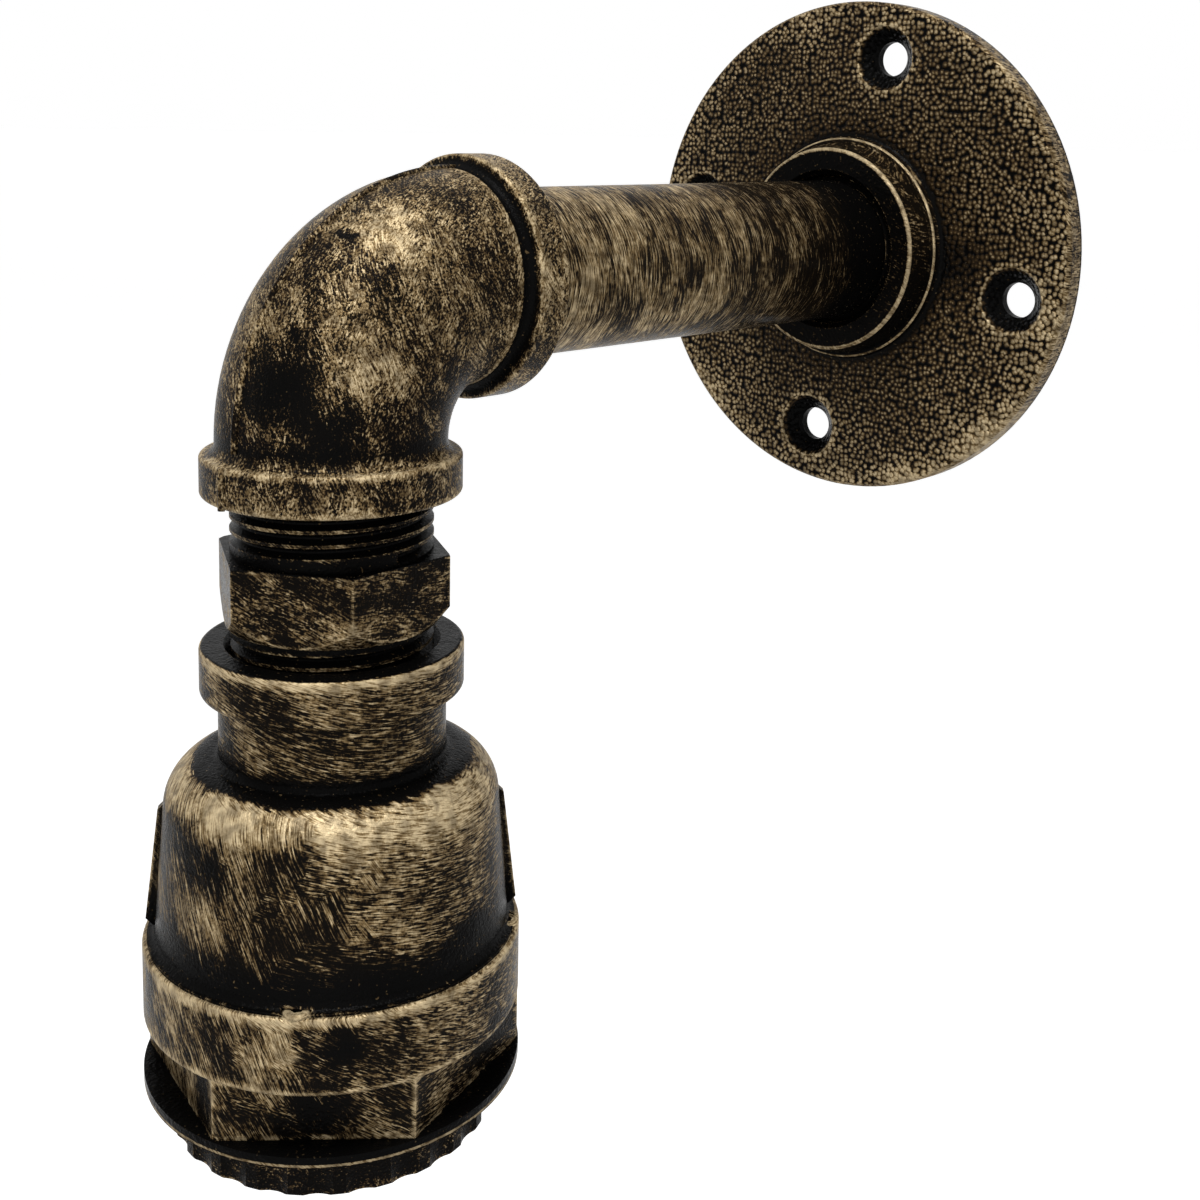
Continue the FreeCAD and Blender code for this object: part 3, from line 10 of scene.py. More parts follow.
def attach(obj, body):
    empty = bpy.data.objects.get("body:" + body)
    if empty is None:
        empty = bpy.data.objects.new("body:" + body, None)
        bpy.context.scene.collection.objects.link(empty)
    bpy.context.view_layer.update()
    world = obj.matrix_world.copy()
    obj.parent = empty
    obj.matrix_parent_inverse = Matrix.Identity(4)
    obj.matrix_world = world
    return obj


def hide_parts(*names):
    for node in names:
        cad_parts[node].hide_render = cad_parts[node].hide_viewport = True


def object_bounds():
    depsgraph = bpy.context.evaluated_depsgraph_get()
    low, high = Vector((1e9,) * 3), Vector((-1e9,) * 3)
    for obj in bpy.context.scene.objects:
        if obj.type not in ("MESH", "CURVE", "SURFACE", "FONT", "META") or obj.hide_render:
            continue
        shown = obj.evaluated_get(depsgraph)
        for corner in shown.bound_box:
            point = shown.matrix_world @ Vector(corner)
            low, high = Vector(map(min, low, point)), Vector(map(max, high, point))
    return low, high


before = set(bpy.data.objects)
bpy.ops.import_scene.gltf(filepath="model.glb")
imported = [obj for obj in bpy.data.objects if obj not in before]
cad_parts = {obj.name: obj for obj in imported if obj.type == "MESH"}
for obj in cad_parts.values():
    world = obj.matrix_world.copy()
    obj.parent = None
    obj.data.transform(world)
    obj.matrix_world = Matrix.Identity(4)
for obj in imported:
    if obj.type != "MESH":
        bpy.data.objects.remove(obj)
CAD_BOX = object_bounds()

bl_info = {
    "name": "Pipe Wall Light",
    "version": (1, 0, 0),
    "blender": (4, 5, 0),
    "location": "3D View > Sidebar > Pipe Light",
    "description": "Finishes, cast details, stage and camera of the industrial pipe wall light",
    "category": "Object",
}

MM = 0.001
ROOT_BODY = "light"
MIDDLE_GREY = (0.5, 0.5, 0.5)           # the mean of a noise's colour

# Places on the object, in metres unless said.
STACK_Y = -0.120                        # the lamp stack's axis, from the wall
BEND_MIDDLE = (-0.1001, -0.0199)        # the elbow's bend, in Y and Z
BEND_OUTSIDE = 0.0350                   # that bend out to the elbow's skin
BAND_RADIUS = 0.01705                   # the elbow's bands
HUB_FRONT = -10.45                      # millimetres, in Y: past it lies the hub's front edge
HUB_EDGE = (17.35, 17.6)                # where that edge's brass begins, off the arm's axis
HUB_WALL = 18.9                         # the hub's side, off the arm's axis
HUB_STEP = 19.85                        # the step round its root: its radius in millimetres
STEP_FRONT = -5.7                       # millimetres, in Y: past it lies the step's edge
FLANGE_BACK = (-0.6, -0.1)              # millimetres, in Y: the brass fades out towards the wall
PEBBLED_RING = (20.4, 21.2, 43.3, 43.7) # millimetres off the arm's axis: fading in and out
NECK_FOOT = -62.4                       # millimetres, in Z
NECK_RADIUS = 15.05                     # millimetres
HOLE_REACH = 34.5                       # wall-screw holes off the arm's axis, millimetres
HOLE_CLOCK = 11.3                       # and their turn, degrees
LAMP_DISTANCE = 0.8                     # the studio lamps from the light's middle
BAND_LEVELS = (-0.0214, -0.0268)        # top and foot of the elbow's lower band
SEAM_START = 88.0                       # where the casting seam begins on the bend, degrees
SEAM_STEPS = 48

# The rolled screw shell, in millimetres: (radius, level, share of the thread).
SHELL_BORE = 13.3
SHELL_SHEET = 0.35
SHELL_LIP = [(13.75, -109.9, 0.0), (13.35, -109.3, 0.0)]
THREADED_PART = (-109.0, -90.9)
SHELL_FLOOR = [(13.6, -90.4, 0.0), (13.6, -88.2, 0.0), (13.3, -87.9, 0.0), (10.0, -87.9, 0.0),
               (10.0, -87.5, 0.0), (13.9, -87.5, 0.0), (14.2, -87.8, 0.0), (14.2, -90.2, 0.0)]
SHELL_LIP_OUTSIDE = [(13.75, -109.3, 0.0), (14.65, -109.9, 0.0)]
THREAD_LEVELS = 60
THREAD_FADE = 6
THREAD_STEPS = 96

# Lighter and darker patches in the brass cover, in millimetres: (place, reach, gain).
MARK_DRIFT = 9.0
ELBOW_COVER = 0.45
# On the elbow, the dark marks low on the outer bend are partly painted shade, and the bright mark high on the
# bend is partly painted highlight of the overhead lamp.
ELBOW_MARKS_AND_LIGHT = [
    ((5.0, -133.2, -11.4), 8.0, -0.34), ((11.8, -129.3, -17.1), 6.0, -0.25),
    ((6.8, -130.0, -5.4), 4.0, -0.25), ((7.9, -117.7, 7.7), 8.0, 0.35), ((4.6, -121.4, 7.0), 3.0, -0.5),
    ((13.4, -124.5, -8.8), 7.0, 0.35)]
# The first flange mark, dark to the right of the hub, is painted shadow of the hub; the others are lighter
# brass patches.
FLANGE_MARKS_AND_HUB_SHADOW = [
    ((25.0, -4.2, -2.0), 10.0, -0.30), ((32.0, -4.2, -32.0), 12.0, 0.30), ((16.0, -4.2, -42.0), 8.0, 0.25),
    ((42.0, -4.2, -10.0), 6.0, 0.15), ((-32.0, -4.2, -30.0), 11.0, 0.20), ((-10.0, -4.2, 40.0), 9.0, 0.15)]
BELL_MARKS = [
    ((-3.0, -141.0, -68.0), 6.0, -0.4), ((2.6, -141.8, -71.5), 6.0, -0.4), ((14.5, -136.2, -68.0), 5.0, -0.3),
    ((22.9, -115.9, -83.9), 7.0, -0.4),
    ((2.9, -138.2, -63.1), 6.0, 0.35), ((16.2, -131.4, -64.2), 6.0, 0.25), ((18.6, -117.3, -63.3), 6.0, 0.25)]
BASE_MARKS = [
    ((20.4, -134.7, -90.6), 6.0, -0.4), ((14.4, -140.7, -91.2), 6.0, 0.25),
    ((15.5, -134.9, -101.0), 8.0, -0.32)]

# How the rubbing reads, as (from, to) ranges.
STROKE_CONTRAST = (0.33, 0.67)
GRAIN_CONTRAST = (0.32, 0.68)
EDGE_RANGE = (0.998, 0.92)              # the softened normal against the true one, at a worn edge
HOLLOW_RANGE = (0.82, 0.45)             # how open a hollow still is
FILM_RANGE = (-0.18, 0.04)
MASK_RANGE = (-0.04, 0.11)
THICKNESS_RANGE = (0.02, 0.46)

# Layers of strokes: length, width and wander against a finish's own.
BROAD_STROKES = (1.0, 1.0, 1.0)
FINE_HAIRS = (0.8, 0.42, 1.3)
CROSS_LENGTH = 0.65                     # the second direction's strokes against the first's
HAIR_SHARE = 0.35
WORN_UNEVENLY = (0.36, 0.58, 0.45, 1.1)
SPECK_STRENGTH = (0.70, 0.76, 0.0, 0.55)
BRASS_FADE = (0.34, 0.56, 0.45, 1.0)
TONE_CONTRAST = (0.36, 0.64)
PEBBLE_TEXTURE = 0.85                   # how far pebbles take the place of the cast grain
PEBBLE_PEAKS = (0.05, 0.5)              # where brass lies on a pebble
PEBBLE_STRENGTH = (0.42, 0.85, 0.55, 1.0)
SMOOTH_SPECKLE = 0.25                   # on the parts of a pebbled casting that bear no pebbles
SMOOTH_LIFT = 0.1
SWELL_HEIGHT = 0.00020
BRASS_HEIGHT = 0.000025
MOTTLE_HEIGHT = 0.00002

# Directions across the brush strokes, as the painter laid them on.
ALONG_ARM = (0.0, 1.0, 0.0)
ALONG_STACK = (0.0, 0.0, 1.0)
STEEP = (0.86, 0.30, 0.42)
SLANTED = (0.42, 0.22, 0.88)
NEARLY_LEVEL = (0.22, 0.10, 0.97)
ELBOW_SWEEP = (0.68, 0.64, 0.36)
ELBOW_CROSS = (0.84, 0.50, -0.22)
FLANGE_SWEEP = (0.80, 0.0, 0.60)
ACROSS_SWEEP = (0.30, 0.0, 0.95)


# ------------------------ settings

def colour_setting(name, description, default):
    return bpy.props.FloatVectorProperty(
        name=name, description=description, subtype="COLOR", size=3, min=0.0, max=1.0, default=default)


def number_setting(name, description, default, **limits):
    return bpy.props.FloatProperty(name=name, description=description, default=default, **limits)


def share_setting(name, description, default):
    return number_setting(name, description, default, subtype="FACTOR", min=0.0, max=1.0)


def length_setting(name, description, default, least=0.0):
    return number_setting(name, description, default, unit="LENGTH", min=least)


class RubbedLacquer(bpy.types.PropertyGroup):
    """The finish of the castings: black lacquer with brass rubbed over it."""
    lacquer: colour_setting("Lacquer", "Colour of the black lacquer", (0.0022, 0.0021, 0.0020))
    umber: colour_setting("Umber", "Colour of the thin brown film round the brass", (0.036, 0.022, 0.010))
    bronze: colour_setting("Bronze", "Colour where the brass is rubbed thin", (0.105, 0.064, 0.026))
    brass: colour_setting("Brass", "Colour of the rubbed brass", (0.205, 0.141, 0.065))
    pale_brass: colour_setting("Pale brass", "Colour where the brass lies thickest", (0.590, 0.468, 0.285))
    lacquer_gloss: share_setting("Lacquer gloss", "Strength of the lacquer's reflection", 0.02)
    lacquer_roughness: share_setting("Lacquer roughness", "Roughness of the bare lacquer", 0.17)
    brass_roughness: share_setting("Brass roughness", "Roughness of the rubbed brass", 0.42)
    brass_metal: share_setting("Brass metal", "How metallic the rubbed brass is", 0.40)
    recess_reach: length_setting("Recess reach", "Reach within which a hollow stays black", 0.0025)


class CastDetails(bpy.types.PropertyGroup):
    """Small forms that stand on the castings."""
    seam_width: length_setting("Seam width", "Width of the elbow's casting seam", 0.0012)
    seam_height: length_setting("Seam height", "Height of the elbow's casting seam", 0.00045)
    pebble_size: length_setting(
        "Pebble size", "Spacing of the flange's cast pebbles", 0.00092, least=0.0001)
    pebble_height: length_setting("Pebble height", "Height of the flange's cast pebbles", 0.00026)
    thread_pitch: length_setting(
        "Lamp thread pitch", "Pitch of the thread rolled into the screw shell", 0.003629, least=0.001)
    thread_depth: length_setting(
        "Lamp thread depth", "Depth of the thread rolled into the screw shell", 0.00075)


class StudioSettings(bpy.types.PropertyGroup):
    """Camera, lamps and floor."""
    camera_place: bpy.props.FloatVectorProperty(
        name="Camera place", description="Where the camera stands", subtype="TRANSLATION", unit="LENGTH",
        size=3, default=(0.163361, -0.244439, 0.021508))
    heading: number_setting(
        "Heading", "Camera's turn to the left of the wall's normal", 0.749873, unit="ROTATION")
    tilt: number_setting("Tilt", "Camera's downward tilt", 0.139542, unit="ROTATION")
    roll: number_setting("Roll", "Camera's roll", 0.020163, unit="ROTATION")
    lens: number_setting("Lens", "Focal length on a 36 mm sensor", 47.3271, unit="CAMERA")
    shift_up: number_setting("Shift", "Vertical lens shift", -0.212515)
    key_power: number_setting("Key", "Level at which it lights a white surface facing it", 0.80, min=0.0)
    key_spread: number_setting(
        "Key spread", "Angle that the overhead light fills", math.radians(20.0), unit="ROTATION", min=0.0)
    fill_power: number_setting("Fill", "Level at which it lights a white surface facing it", 0.42, min=0.0)
    fill_spread: number_setting(
        "Fill spread", "Angle that the front light fills", math.radians(70.0), unit="ROTATION", min=0.0)
    ambient: number_setting("Ambient", "Strength of the even light from all round", 0.34, min=0.0)
    floor_drop: length_setting("Floor drop", "Floor below the light", 0.30)
    floor_size: length_setting("Floor size", "Side of the floor", 80.0, least=0.1)


# ------------------------ node helpers

def new_node(tree, kind, **settings):
    node = tree.nodes.new(kind)
    for name, value in settings.items():
        setattr(node, name, value)
    return node


def feed(tree, source, socket):
    """Links a socket, or sets a plain value."""
    if isinstance(source, bpy.types.NodeSocket):
        tree.links.new(source, socket)
    else:
        socket.default_value = source


def calc(tree, operation, *terms, clamp=False):
    node = new_node(tree, "ShaderNodeMath", operation=operation, use_clamp=clamp)
    for socket, term in zip(node.inputs, terms):
        feed(tree, term, socket)
    return node.outputs[0]


def total(tree, *terms):
    result, *rest = terms
    for term in rest:
        result = calc(tree, "ADD", result, term)
    return result


def product(tree, *terms):
    result, *rest = terms
    for term in rest:
        result = calc(tree, "MULTIPLY", result, term)
    return result


def vector_calc(tree, operation, *terms, scale=None):
    node = new_node(tree, "ShaderNodeVectorMath", operation=operation)
    for socket, term in zip(node.inputs, terms):
        feed(tree, term, socket)
    if scale is not None:
        feed(tree, scale, node.inputs["Scale"])
    return node.outputs["Value"] if operation in {"DOT_PRODUCT", "LENGTH"} else node.outputs["Vector"]


def remap(tree, value, low, high, to_low=0.0, to_high=1.0, kind="LINEAR"):
    node = new_node(tree, "ShaderNodeMapRange", interpolation_type=kind)
    for name, term in (("Value", value), ("From Min", low), ("From Max", high),
                       ("To Min", to_low), ("To Max", to_high)):
        feed(tree, term, node.inputs[name])
    return node.outputs["Result"]


def noise(tree, vector, scale, detail=2.0, roughness=0.5, output="Fac"):
    node = new_node(tree, "ShaderNodeTexNoise")
    feed(tree, vector, node.inputs["Vector"])
    for name, term in (("Scale", scale), ("Detail", detail), ("Roughness", roughness)):
        feed(tree, term, node.inputs[name])
    return node.outputs[output]


def drifted(tree, place, scale, reach, detail=1.0, roughness=0.5):
    """A place led astray by slow noise."""
    drift = noise(tree, place, scale, detail, roughness, "Color")
    drift = vector_calc(tree, "SUBTRACT", drift, MIDDLE_GREY)
    return vector_calc(tree, "ADD", place, vector_calc(tree, "SCALE", drift, scale=reach))


def blend_colour(tree, share, below, above):
    node = new_node(tree, "ShaderNodeMix", data_type="RGBA")
    feed(tree, share, node.inputs[0])
    feed(tree, below, node.inputs[6])
    feed(tree, above, node.inputs[7])
    return node.outputs[2]


def blend_value(tree, share, below, above):
    node = new_node(tree, "ShaderNodeMix", data_type="FLOAT")
    for socket, term in zip(node.inputs[:1] + node.inputs[2:4], (share, below, above)):
        feed(tree, term, socket)
    return node.outputs[0]


def opaque(colour):
    return (*colour, 1.0)


def colour_ramp(tree, value, stops):
    """A colour read off (place, colour) stops."""
    node = new_node(tree, "ShaderNodeValToRGB")
    ramp = node.color_ramp
    while len(ramp.elements) < len(stops):
        ramp.elements.new(1.0)
    for element, (place, colour) in zip(ramp.elements, stops):
        element.position = place
        element.color = opaque(colour)
    feed(tree, value, node.inputs["Fac"])
    return node.outputs["Color"]


def level_ramp(tree, value, stops):
    """A value read off straight lines between (place, level) stops, which may be negative."""
    start, end = stops[0][0], stops[-1][0]
    levels = [level for _, level in stops]
    low, high = min(levels), max(levels)
    greys = [((place - start) / (end - start), 3 * ((level - low) / (high - low),))
             for place, level in stops]
    shade = colour_ramp(tree, remap(tree, value, start, end), greys)
    return calc(tree, "MULTIPLY_ADD", shade, high - low, low)


def coordinate(tree, place, axis):
    split = new_node(tree, "ShaderNodeSeparateXYZ")
    feed(tree, place, split.inputs[0])
    return split.outputs[axis]


def place_in_mm(tree):
    """The point on the resting object, in millimetres."""
    source = new_node(tree, "ShaderNodeTexCoord").outputs["Object"]
    return vector_calc(tree, "SCALE", source, scale=1.0 / MM)


def new_group(name, inputs, outputs):
    """An empty node group with named sockets; returns the tree, its inputs and its output node."""
    tree = bpy.data.node_groups.new(name, "ShaderNodeTree")
    kinds = {"value": "NodeSocketFloat", "vector": "NodeSocketVector", "colour": "NodeSocketColor"}
    for label, kind, default in inputs:
        socket = tree.interface.new_socket(name=label, in_out="INPUT", socket_type=kinds[kind])
        socket.default_value = default
    for label, kind in outputs:
        tree.interface.new_socket(name=label, in_out="OUTPUT", socket_type=kinds[kind])
    return tree, new_node(tree, "NodeGroupInput").outputs, new_node(tree, "NodeGroupOutput").inputs


def use_group(tree, name, **values):
    """Places a node group and gives its inputs, named with spaces as underscores, their values."""
    node = new_node(tree, "ShaderNodeGroup", node_tree=bpy.data.node_groups[name])
    for label, value in values.items():
        feed(tree, value, node.inputs[label.replace("_", " ")])
    return node.outputs


# ------------------------ effects shared by the finishes

def make_brush_strokes():
    """Fine strokes, long in one direction and thin across it."""
    tree, given, result = new_group(
        "Brush strokes",
        [("Place", "vector", (0, 0, 0)), ("Across", "vector", (0, 0, 1)), ("Length", "value", 4.0),
         ("Width", "value", 0.3), ("Wander", "value", 0.5)],
        [("Strokes", "value")])
    place = drifted(tree, given["Place"], 0.14, given["Wander"])
    across = vector_calc(tree, "DOT_PRODUCT", place, given["Across"])
    per_length = calc(tree, "DIVIDE", 1.0, given["Length"])
    per_width = calc(tree, "DIVIDE", 1.0, given["Width"])
    squeeze = product(tree, across, calc(tree, "SUBTRACT", per_width, per_length))
    place = vector_calc(tree, "SCALE", place, scale=per_length)
    place = vector_calc(tree, "ADD", place, vector_calc(tree, "SCALE", given["Across"], scale=squeeze))
    feed(tree, remap(tree, noise(tree, place, 1.0, 1.5, 0.6), *STROKE_CONTRAST), result["Strokes"])


def make_worn_edges():
    """Edges that stand out, and hollows: on the rubbed lacquer the rag doesn't reach them, on the plain
    finishes they carry painted shade.
    """
    tree, given, result = new_group(
        "Worn edges",
        [("Edge Reach", "value", 0.0006), ("Hollow Reach", "value", 0.003)],
        [("Edge", "value"), ("Hollow", "value")])
    softened = new_node(tree, "ShaderNodeBevel", samples=8)
    feed(tree, given["Edge Reach"], softened.inputs["Radius"])
    facing = vector_calc(tree, "DOT_PRODUCT", softened.outputs["Normal"],
                         new_node(tree, "ShaderNodeNewGeometry").outputs["Normal"])
    edge = remap(tree, facing, *EDGE_RANGE)
    shelter = new_node(tree, "ShaderNodeAmbientOcclusion", samples=10, only_local=True)
    feed(tree, given["Hollow Reach"], shelter.inputs["Distance"])
    hollow = remap(tree, shelter.outputs["AO"], *HOLLOW_RANGE)
    open_edge = calc(tree, "MULTIPLY", edge, calc(tree, "SUBTRACT", 1.0, hollow), clamp=True)
    feed(tree, open_edge, result["Edge"])
    feed(tree, hollow, result["Hollow"])


def make_cast_grain():
    """The skin of a sand casting: small lumps with a slow swell under them."""
    tree, given, result = new_group(
        "Cast grain",
        [("Place", "vector", (0, 0, 0)), ("Size", "value", 0.5)],
        [("Grain", "value"), ("Swell", "value")])
    grain = noise(tree, given["Place"], calc(tree, "DIVIDE", 1.0, given["Size"]), 2.0, 0.55)
    feed(tree, remap(tree, grain, *GRAIN_CONTRAST), result["Grain"])
    feed(tree, noise(tree, given["Place"], 0.22), result["Swell"])


def make_pebbles():
    """Close-set rounded pebbles, as on a shagreen skin."""
    tree, given, result = new_group(
        "Pebbles",
        [("Place", "vector", (0, 0, 0)), ("Size", "value", 1.0)],
        [("Dome", "value"), ("Peak", "value")])
    place = drifted(tree, given["Place"], 0.30, 0.8)
    flat = new_node(tree, "ShaderNodeCombineXYZ")
    feed(tree, coordinate(tree, place, "X"), flat.inputs["X"])
    feed(tree, coordinate(tree, place, "Z"), flat.inputs["Y"])
    cells = new_node(tree, "ShaderNodeTexVoronoi", feature="F1", voronoi_dimensions="2D")
    feed(tree, flat.outputs[0], cells.inputs["Vector"])
    feed(tree, calc(tree, "DIVIDE", 1.0, given["Size"]), cells.inputs["Scale"])
    cells.inputs["Randomness"].default_value = 0.75
    gap = calc(tree, "POWER", product(tree, cells.outputs["Distance"], 1.55), 2.0)
    feed(tree, calc(tree, "SUBTRACT", 1.0, gap, clamp=True), result["Dome"])
    feed(tree, remap(tree, cells.outputs["Distance"], 0.05, 0.62, 1.0, 0.0), result["Peak"])


def make_rub_mask():
    """Where brass lies: strokes and grain over a threshold that falls as the cover rises, and specks."""
    tree, given, result = new_group(
        "Rub mask",
        [(label, "value", 0.5) for label in (
            "Strokes", "Grain", "Speckle", "Patches", "Patch Gain", "Cover", "Edge", "Edge Gain", "Hollow",
            "Hollow Loss", "Specks")],
        [("Film", "value"), ("Mask", "value"), ("Thickness", "value")])
    field = blend_value(tree, given["Speckle"], given["Strokes"], given["Grain"])
    patchy = calc(tree, "MULTIPLY_ADD", calc(tree, "SUBTRACT", given["Patches"], 0.5), given["Patch Gain"],
                  given["Cover"])
    rubbed = calc(tree, "MULTIPLY_ADD", given["Edge"], given["Edge Gain"], patchy)
    cover = calc(tree, "SUBTRACT", rubbed, product(tree, given["Hollow"], given["Hollow Loss"]))
    above = calc(tree, "SUBTRACT", total(tree, field, cover), 1.0)
    feed(tree, remap(tree, above, *FILM_RANGE, kind="SMOOTHSTEP"), result["Film"])
    lain = remap(tree, above, *MASK_RANGE, kind="SMOOTHSTEP")
    feed(tree, calc(tree, "MAXIMUM", lain, given["Specks"]), result["Mask"])
    feed(tree, remap(tree, above, *THICKNESS_RANGE), result["Thickness"])


def make_shared_effects():
    make_brush_strokes()
    make_worn_edges()
    make_cast_grain()
    make_pebbles()
    make_rub_mask()


# ------------------------ finishes

def new_material(name):
    """A material with an empty tree but for its shader and output."""
    material = bpy.data.materials.new(name)
    material.use_nodes = True
    tree = material.node_tree
    tree.nodes.clear()
    shader = new_node(tree, "ShaderNodeBsdfPrincipled")
    output = new_node(tree, "ShaderNodeOutputMaterial")
    tree.links.new(shader.outputs["BSDF"], output.inputs["Surface"])
    return material, tree, shader


def bump(tree, height, distance, normal=None):
    node = new_node(tree, "ShaderNodeBump")
    feed(tree, height, node.inputs["Height"])
    node.inputs["Distance"].default_value = distance
    node.inputs["Strength"].default_value = 1.0
    if normal is not None:
        feed(tree, normal, node.inputs["Normal"])
    return node.outputs["Normal"]


def brush_strokes(tree, place, across, length, width, wander):
    return use_group(tree, "Brush strokes", Place=place, Across=across, Length=length, Width=width,
                     Wander=wander)["Strokes"]


def two_way_strokes(tree, place, sweep, cross, stroke, wander, turn):
    """Broad strokes and fine hairs, each laid in two directions that take turns over the surface."""
    sway = noise(tree, place, 0.16)
    if turn:
        sway = total(tree, sway, turn(tree, place))
    which = remap(tree, sway, 0.46, 0.54)
    layers = []
    for long, thin, astray in (BROAD_STROKES, FINE_HAIRS):
        one, other = (brush_strokes(tree, place, across, stroke[0] * long * share, stroke[1] * thin,
                                    wander * astray)
                      for across, share in ((sweep, 1.0), (cross, CROSS_LENGTH)))
        layers.append(blend_value(tree, which, one, other))
    return layers


def rubbed_lacquer(name, look, cover, sweep, cross, *, stroke=(4.0, 0.28), wander=0.9, turn=None,
                   speckle=0.35, grain_size=0.55, grain_depth=0.00005, edge_reach=0.0007, edge_gain=0.75,
                   hollow_loss=1.2, patch_size=7.0, patch_gain=1.0, tint=0.08, strength=1.0, pebbles=None):
    """Black lacquer with brass rubbed over it. cover(tree, place) gives the share of brass, tint the brown
    film under it, strength how full the brass lies and turn(tree, place) where the second direction rules.
    pebbles is the (size, height, share) of a pebbled skin."""
    material, tree, shader = new_material(name)
    place = place_in_mm(tree)
    sweep, cross = Vector(sweep).normalized(), Vector(cross).normalized()
    strokes, hairs = two_way_strokes(tree, place, sweep, cross, stroke, wander, turn)
    cast = use_group(tree, "Cast grain", Place=place, Size=grain_size)
    edges_and_hollows = use_group(tree, "Worn edges", Edge_Reach=edge_reach, Hollow_Reach=look.recess_reach)
    patches = brush_strokes(tree, place, sweep, patch_size * 1.8, patch_size * 0.8, 2.5)
    patches = remap(tree, patches, 0.0, 1.0, 0.3, 0.7)
    spread = cover(tree, place)
    texture = cast["Grain"]
    lift = 1.0
    if pebbles:
        size, height, share = pebbles
        cells = use_group(tree, "Pebbles", Place=place, Size=size / MM)
        pebbled = share(tree, place)
        texture = blend_value(tree, product(tree, pebbled, PEBBLE_TEXTURE), texture, cells["Peak"])
        speckle = calc(tree, "MULTIPLY_ADD", pebbled, speckle - SMOOTH_SPECKLE, SMOOTH_SPECKLE)
        lift = blend_value(tree, pebbled, SMOOTH_LIFT, remap(tree, cells["Peak"], *PEBBLE_PEAKS))
        strength = blend_value(tree, pebbled, strength, remap(tree, spread, *PEBBLE_STRENGTH))
    uneven = remap(tree, noise(tree, place, 0.45, 3.0), *WORN_UNEVENLY)
    worn_edge = product(tree, edges_and_hollows["Edge"], uneven)
    specks = remap(tree, noise(tree, place, 1.9, 1.0), *SPECK_STRENGTH)
    field = blend_value(tree, HAIR_SHARE, strokes, hairs)
    rub = use_group(tree, "Rub mask", Strokes=field, Grain=texture, Speckle=speckle, Patches=patches,
                    Patch_Gain=patch_gain, Cover=spread, Edge=worn_edge, Edge_Gain=edge_gain,
                    Hollow=edges_and_hollows["Hollow"], Hollow_Loss=hollow_loss, Specks=specks)
    undertone = product(tree, remap(tree, spread, 0.08, 0.45), lift, tint)
    film = calc(tree, "MAXIMUM", rub["Film"], undertone)
    fade = remap(tree, noise(tree, place, 0.55), *BRASS_FADE)
    mask = product(tree, rub["Mask"], fade, strength)
    tone = blend_value(tree, 0.45, hairs, remap(tree, noise(tree, place, 0.9, 4.0, 0.7), *TONE_CONTRAST))
    tone = calc(tree, "MULTIPLY_ADD", tone, 0.9, -0.28)
    thick = calc(tree, "MULTIPLY_ADD", rub["Thickness"], 0.7, tone, clamp=True)
    base = blend_colour(tree, film, opaque(look.lacquer), opaque(look.umber))
    metal = colour_ramp(tree, thick, [(0.0, look.bronze), (0.40, look.brass), (1.0, look.pale_brass)])
    feed(tree, blend_colour(tree, mask, base, metal), shader.inputs["Base Color"])
    feed(tree, product(tree, mask, look.brass_metal), shader.inputs["Metallic"])
    rough = blend_value(tree, mask, look.lacquer_roughness, look.brass_roughness)
    feed(tree, calc(tree, "MULTIPLY_ADD", cast["Grain"], 0.10, rough), shader.inputs["Roughness"])
    shader.inputs["Specular IOR Level"].default_value = look.lacquer_gloss
    skin = bump(tree, cast["Swell"], SWELL_HEIGHT)
    skin = bump(tree, cast["Grain"], grain_depth, skin)
    if pebbles:
        skin = bump(tree, product(tree, cells["Dome"], pebbled), height, skin)
    feed(tree, bump(tree, mask, BRASS_HEIGHT, skin), shader.inputs["Normal"])
    return material


def plain_finish(name, colour, second, roughness, metallic, *, speck=2.0, coat=0.0, brushed=0.5):
    """A plain inner finish: two tones, fine brushing, a little unevenness in its gloss, and its hollows
    leaning to the second tone as painted shade.
    """
    material, tree, shader = new_material(name)
    place = place_in_mm(tree)
    strokes = brush_strokes(tree, place, ALONG_STACK, 3.0, 0.16, 0.4)
    cast = use_group(tree, "Cast grain", Place=place, Size=speck)
    edges_and_hollows = use_group(tree, "Worn edges", Edge_Reach=0.0003, Hollow_Reach=0.0015)
    mottle = blend_value(tree, brushed, cast["Grain"], strokes)
    # Hollows lean to the second tone, the darker one on all but the black moulding: painted shade.
    hollow_shade = product(tree, edges_and_hollows["Hollow"], 0.5)
    shade = calc(tree, "MULTIPLY_ADD", mottle, 0.5, hollow_shade, clamp=True)
    feed(tree, blend_colour(tree, shade, opaque(colour), opaque(second)), shader.inputs["Base Color"])
    feed(tree, calc(tree, "MULTIPLY_ADD", mottle, 0.16, roughness - 0.08), shader.inputs["Roughness"])
    shader.inputs["Metallic"].default_value = metallic
    shader.inputs["Coat Weight"].default_value = coat
    feed(tree, bump(tree, mottle, MOTTLE_HEIGHT), shader.inputs["Normal"])
    return material


def paint(node_name, material):
    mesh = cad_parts[node_name].data
    mesh.materials.clear()
    mesh.materials.append(material)


# ------------------------ where the brass lies

def length_in(tree, way, plane):
    return vector_calc(tree, "LENGTH", vector_calc(tree, "MULTIPLY", way, plane))


def off_arm(tree, place):
    """Distance from the arm's axis, in millimetres."""
    return length_in(tree, place, (1.0, 0.0, 1.0))


def from_stack(tree, place):
    """The way from the point where the two axes meet, in millimetres."""
    return vector_calc(tree, "SUBTRACT", place, (0.0, STACK_Y / MM, 0.0))


def off_stack(tree, place):
    """Distance from the stack's axis, in millimetres."""
    return length_in(tree, from_stack(tree, place), (1.0, 1.0, 0.0))


def even_cover(share):
    """The same cover all over."""
    return lambda tree, place: share


def cover_by_level(axis, stops):
    """Cover that changes along one axis, from (millimetre, cover) stops."""
    return lambda tree, place: level_ramp(tree, coordinate(tree, place, axis), stops)


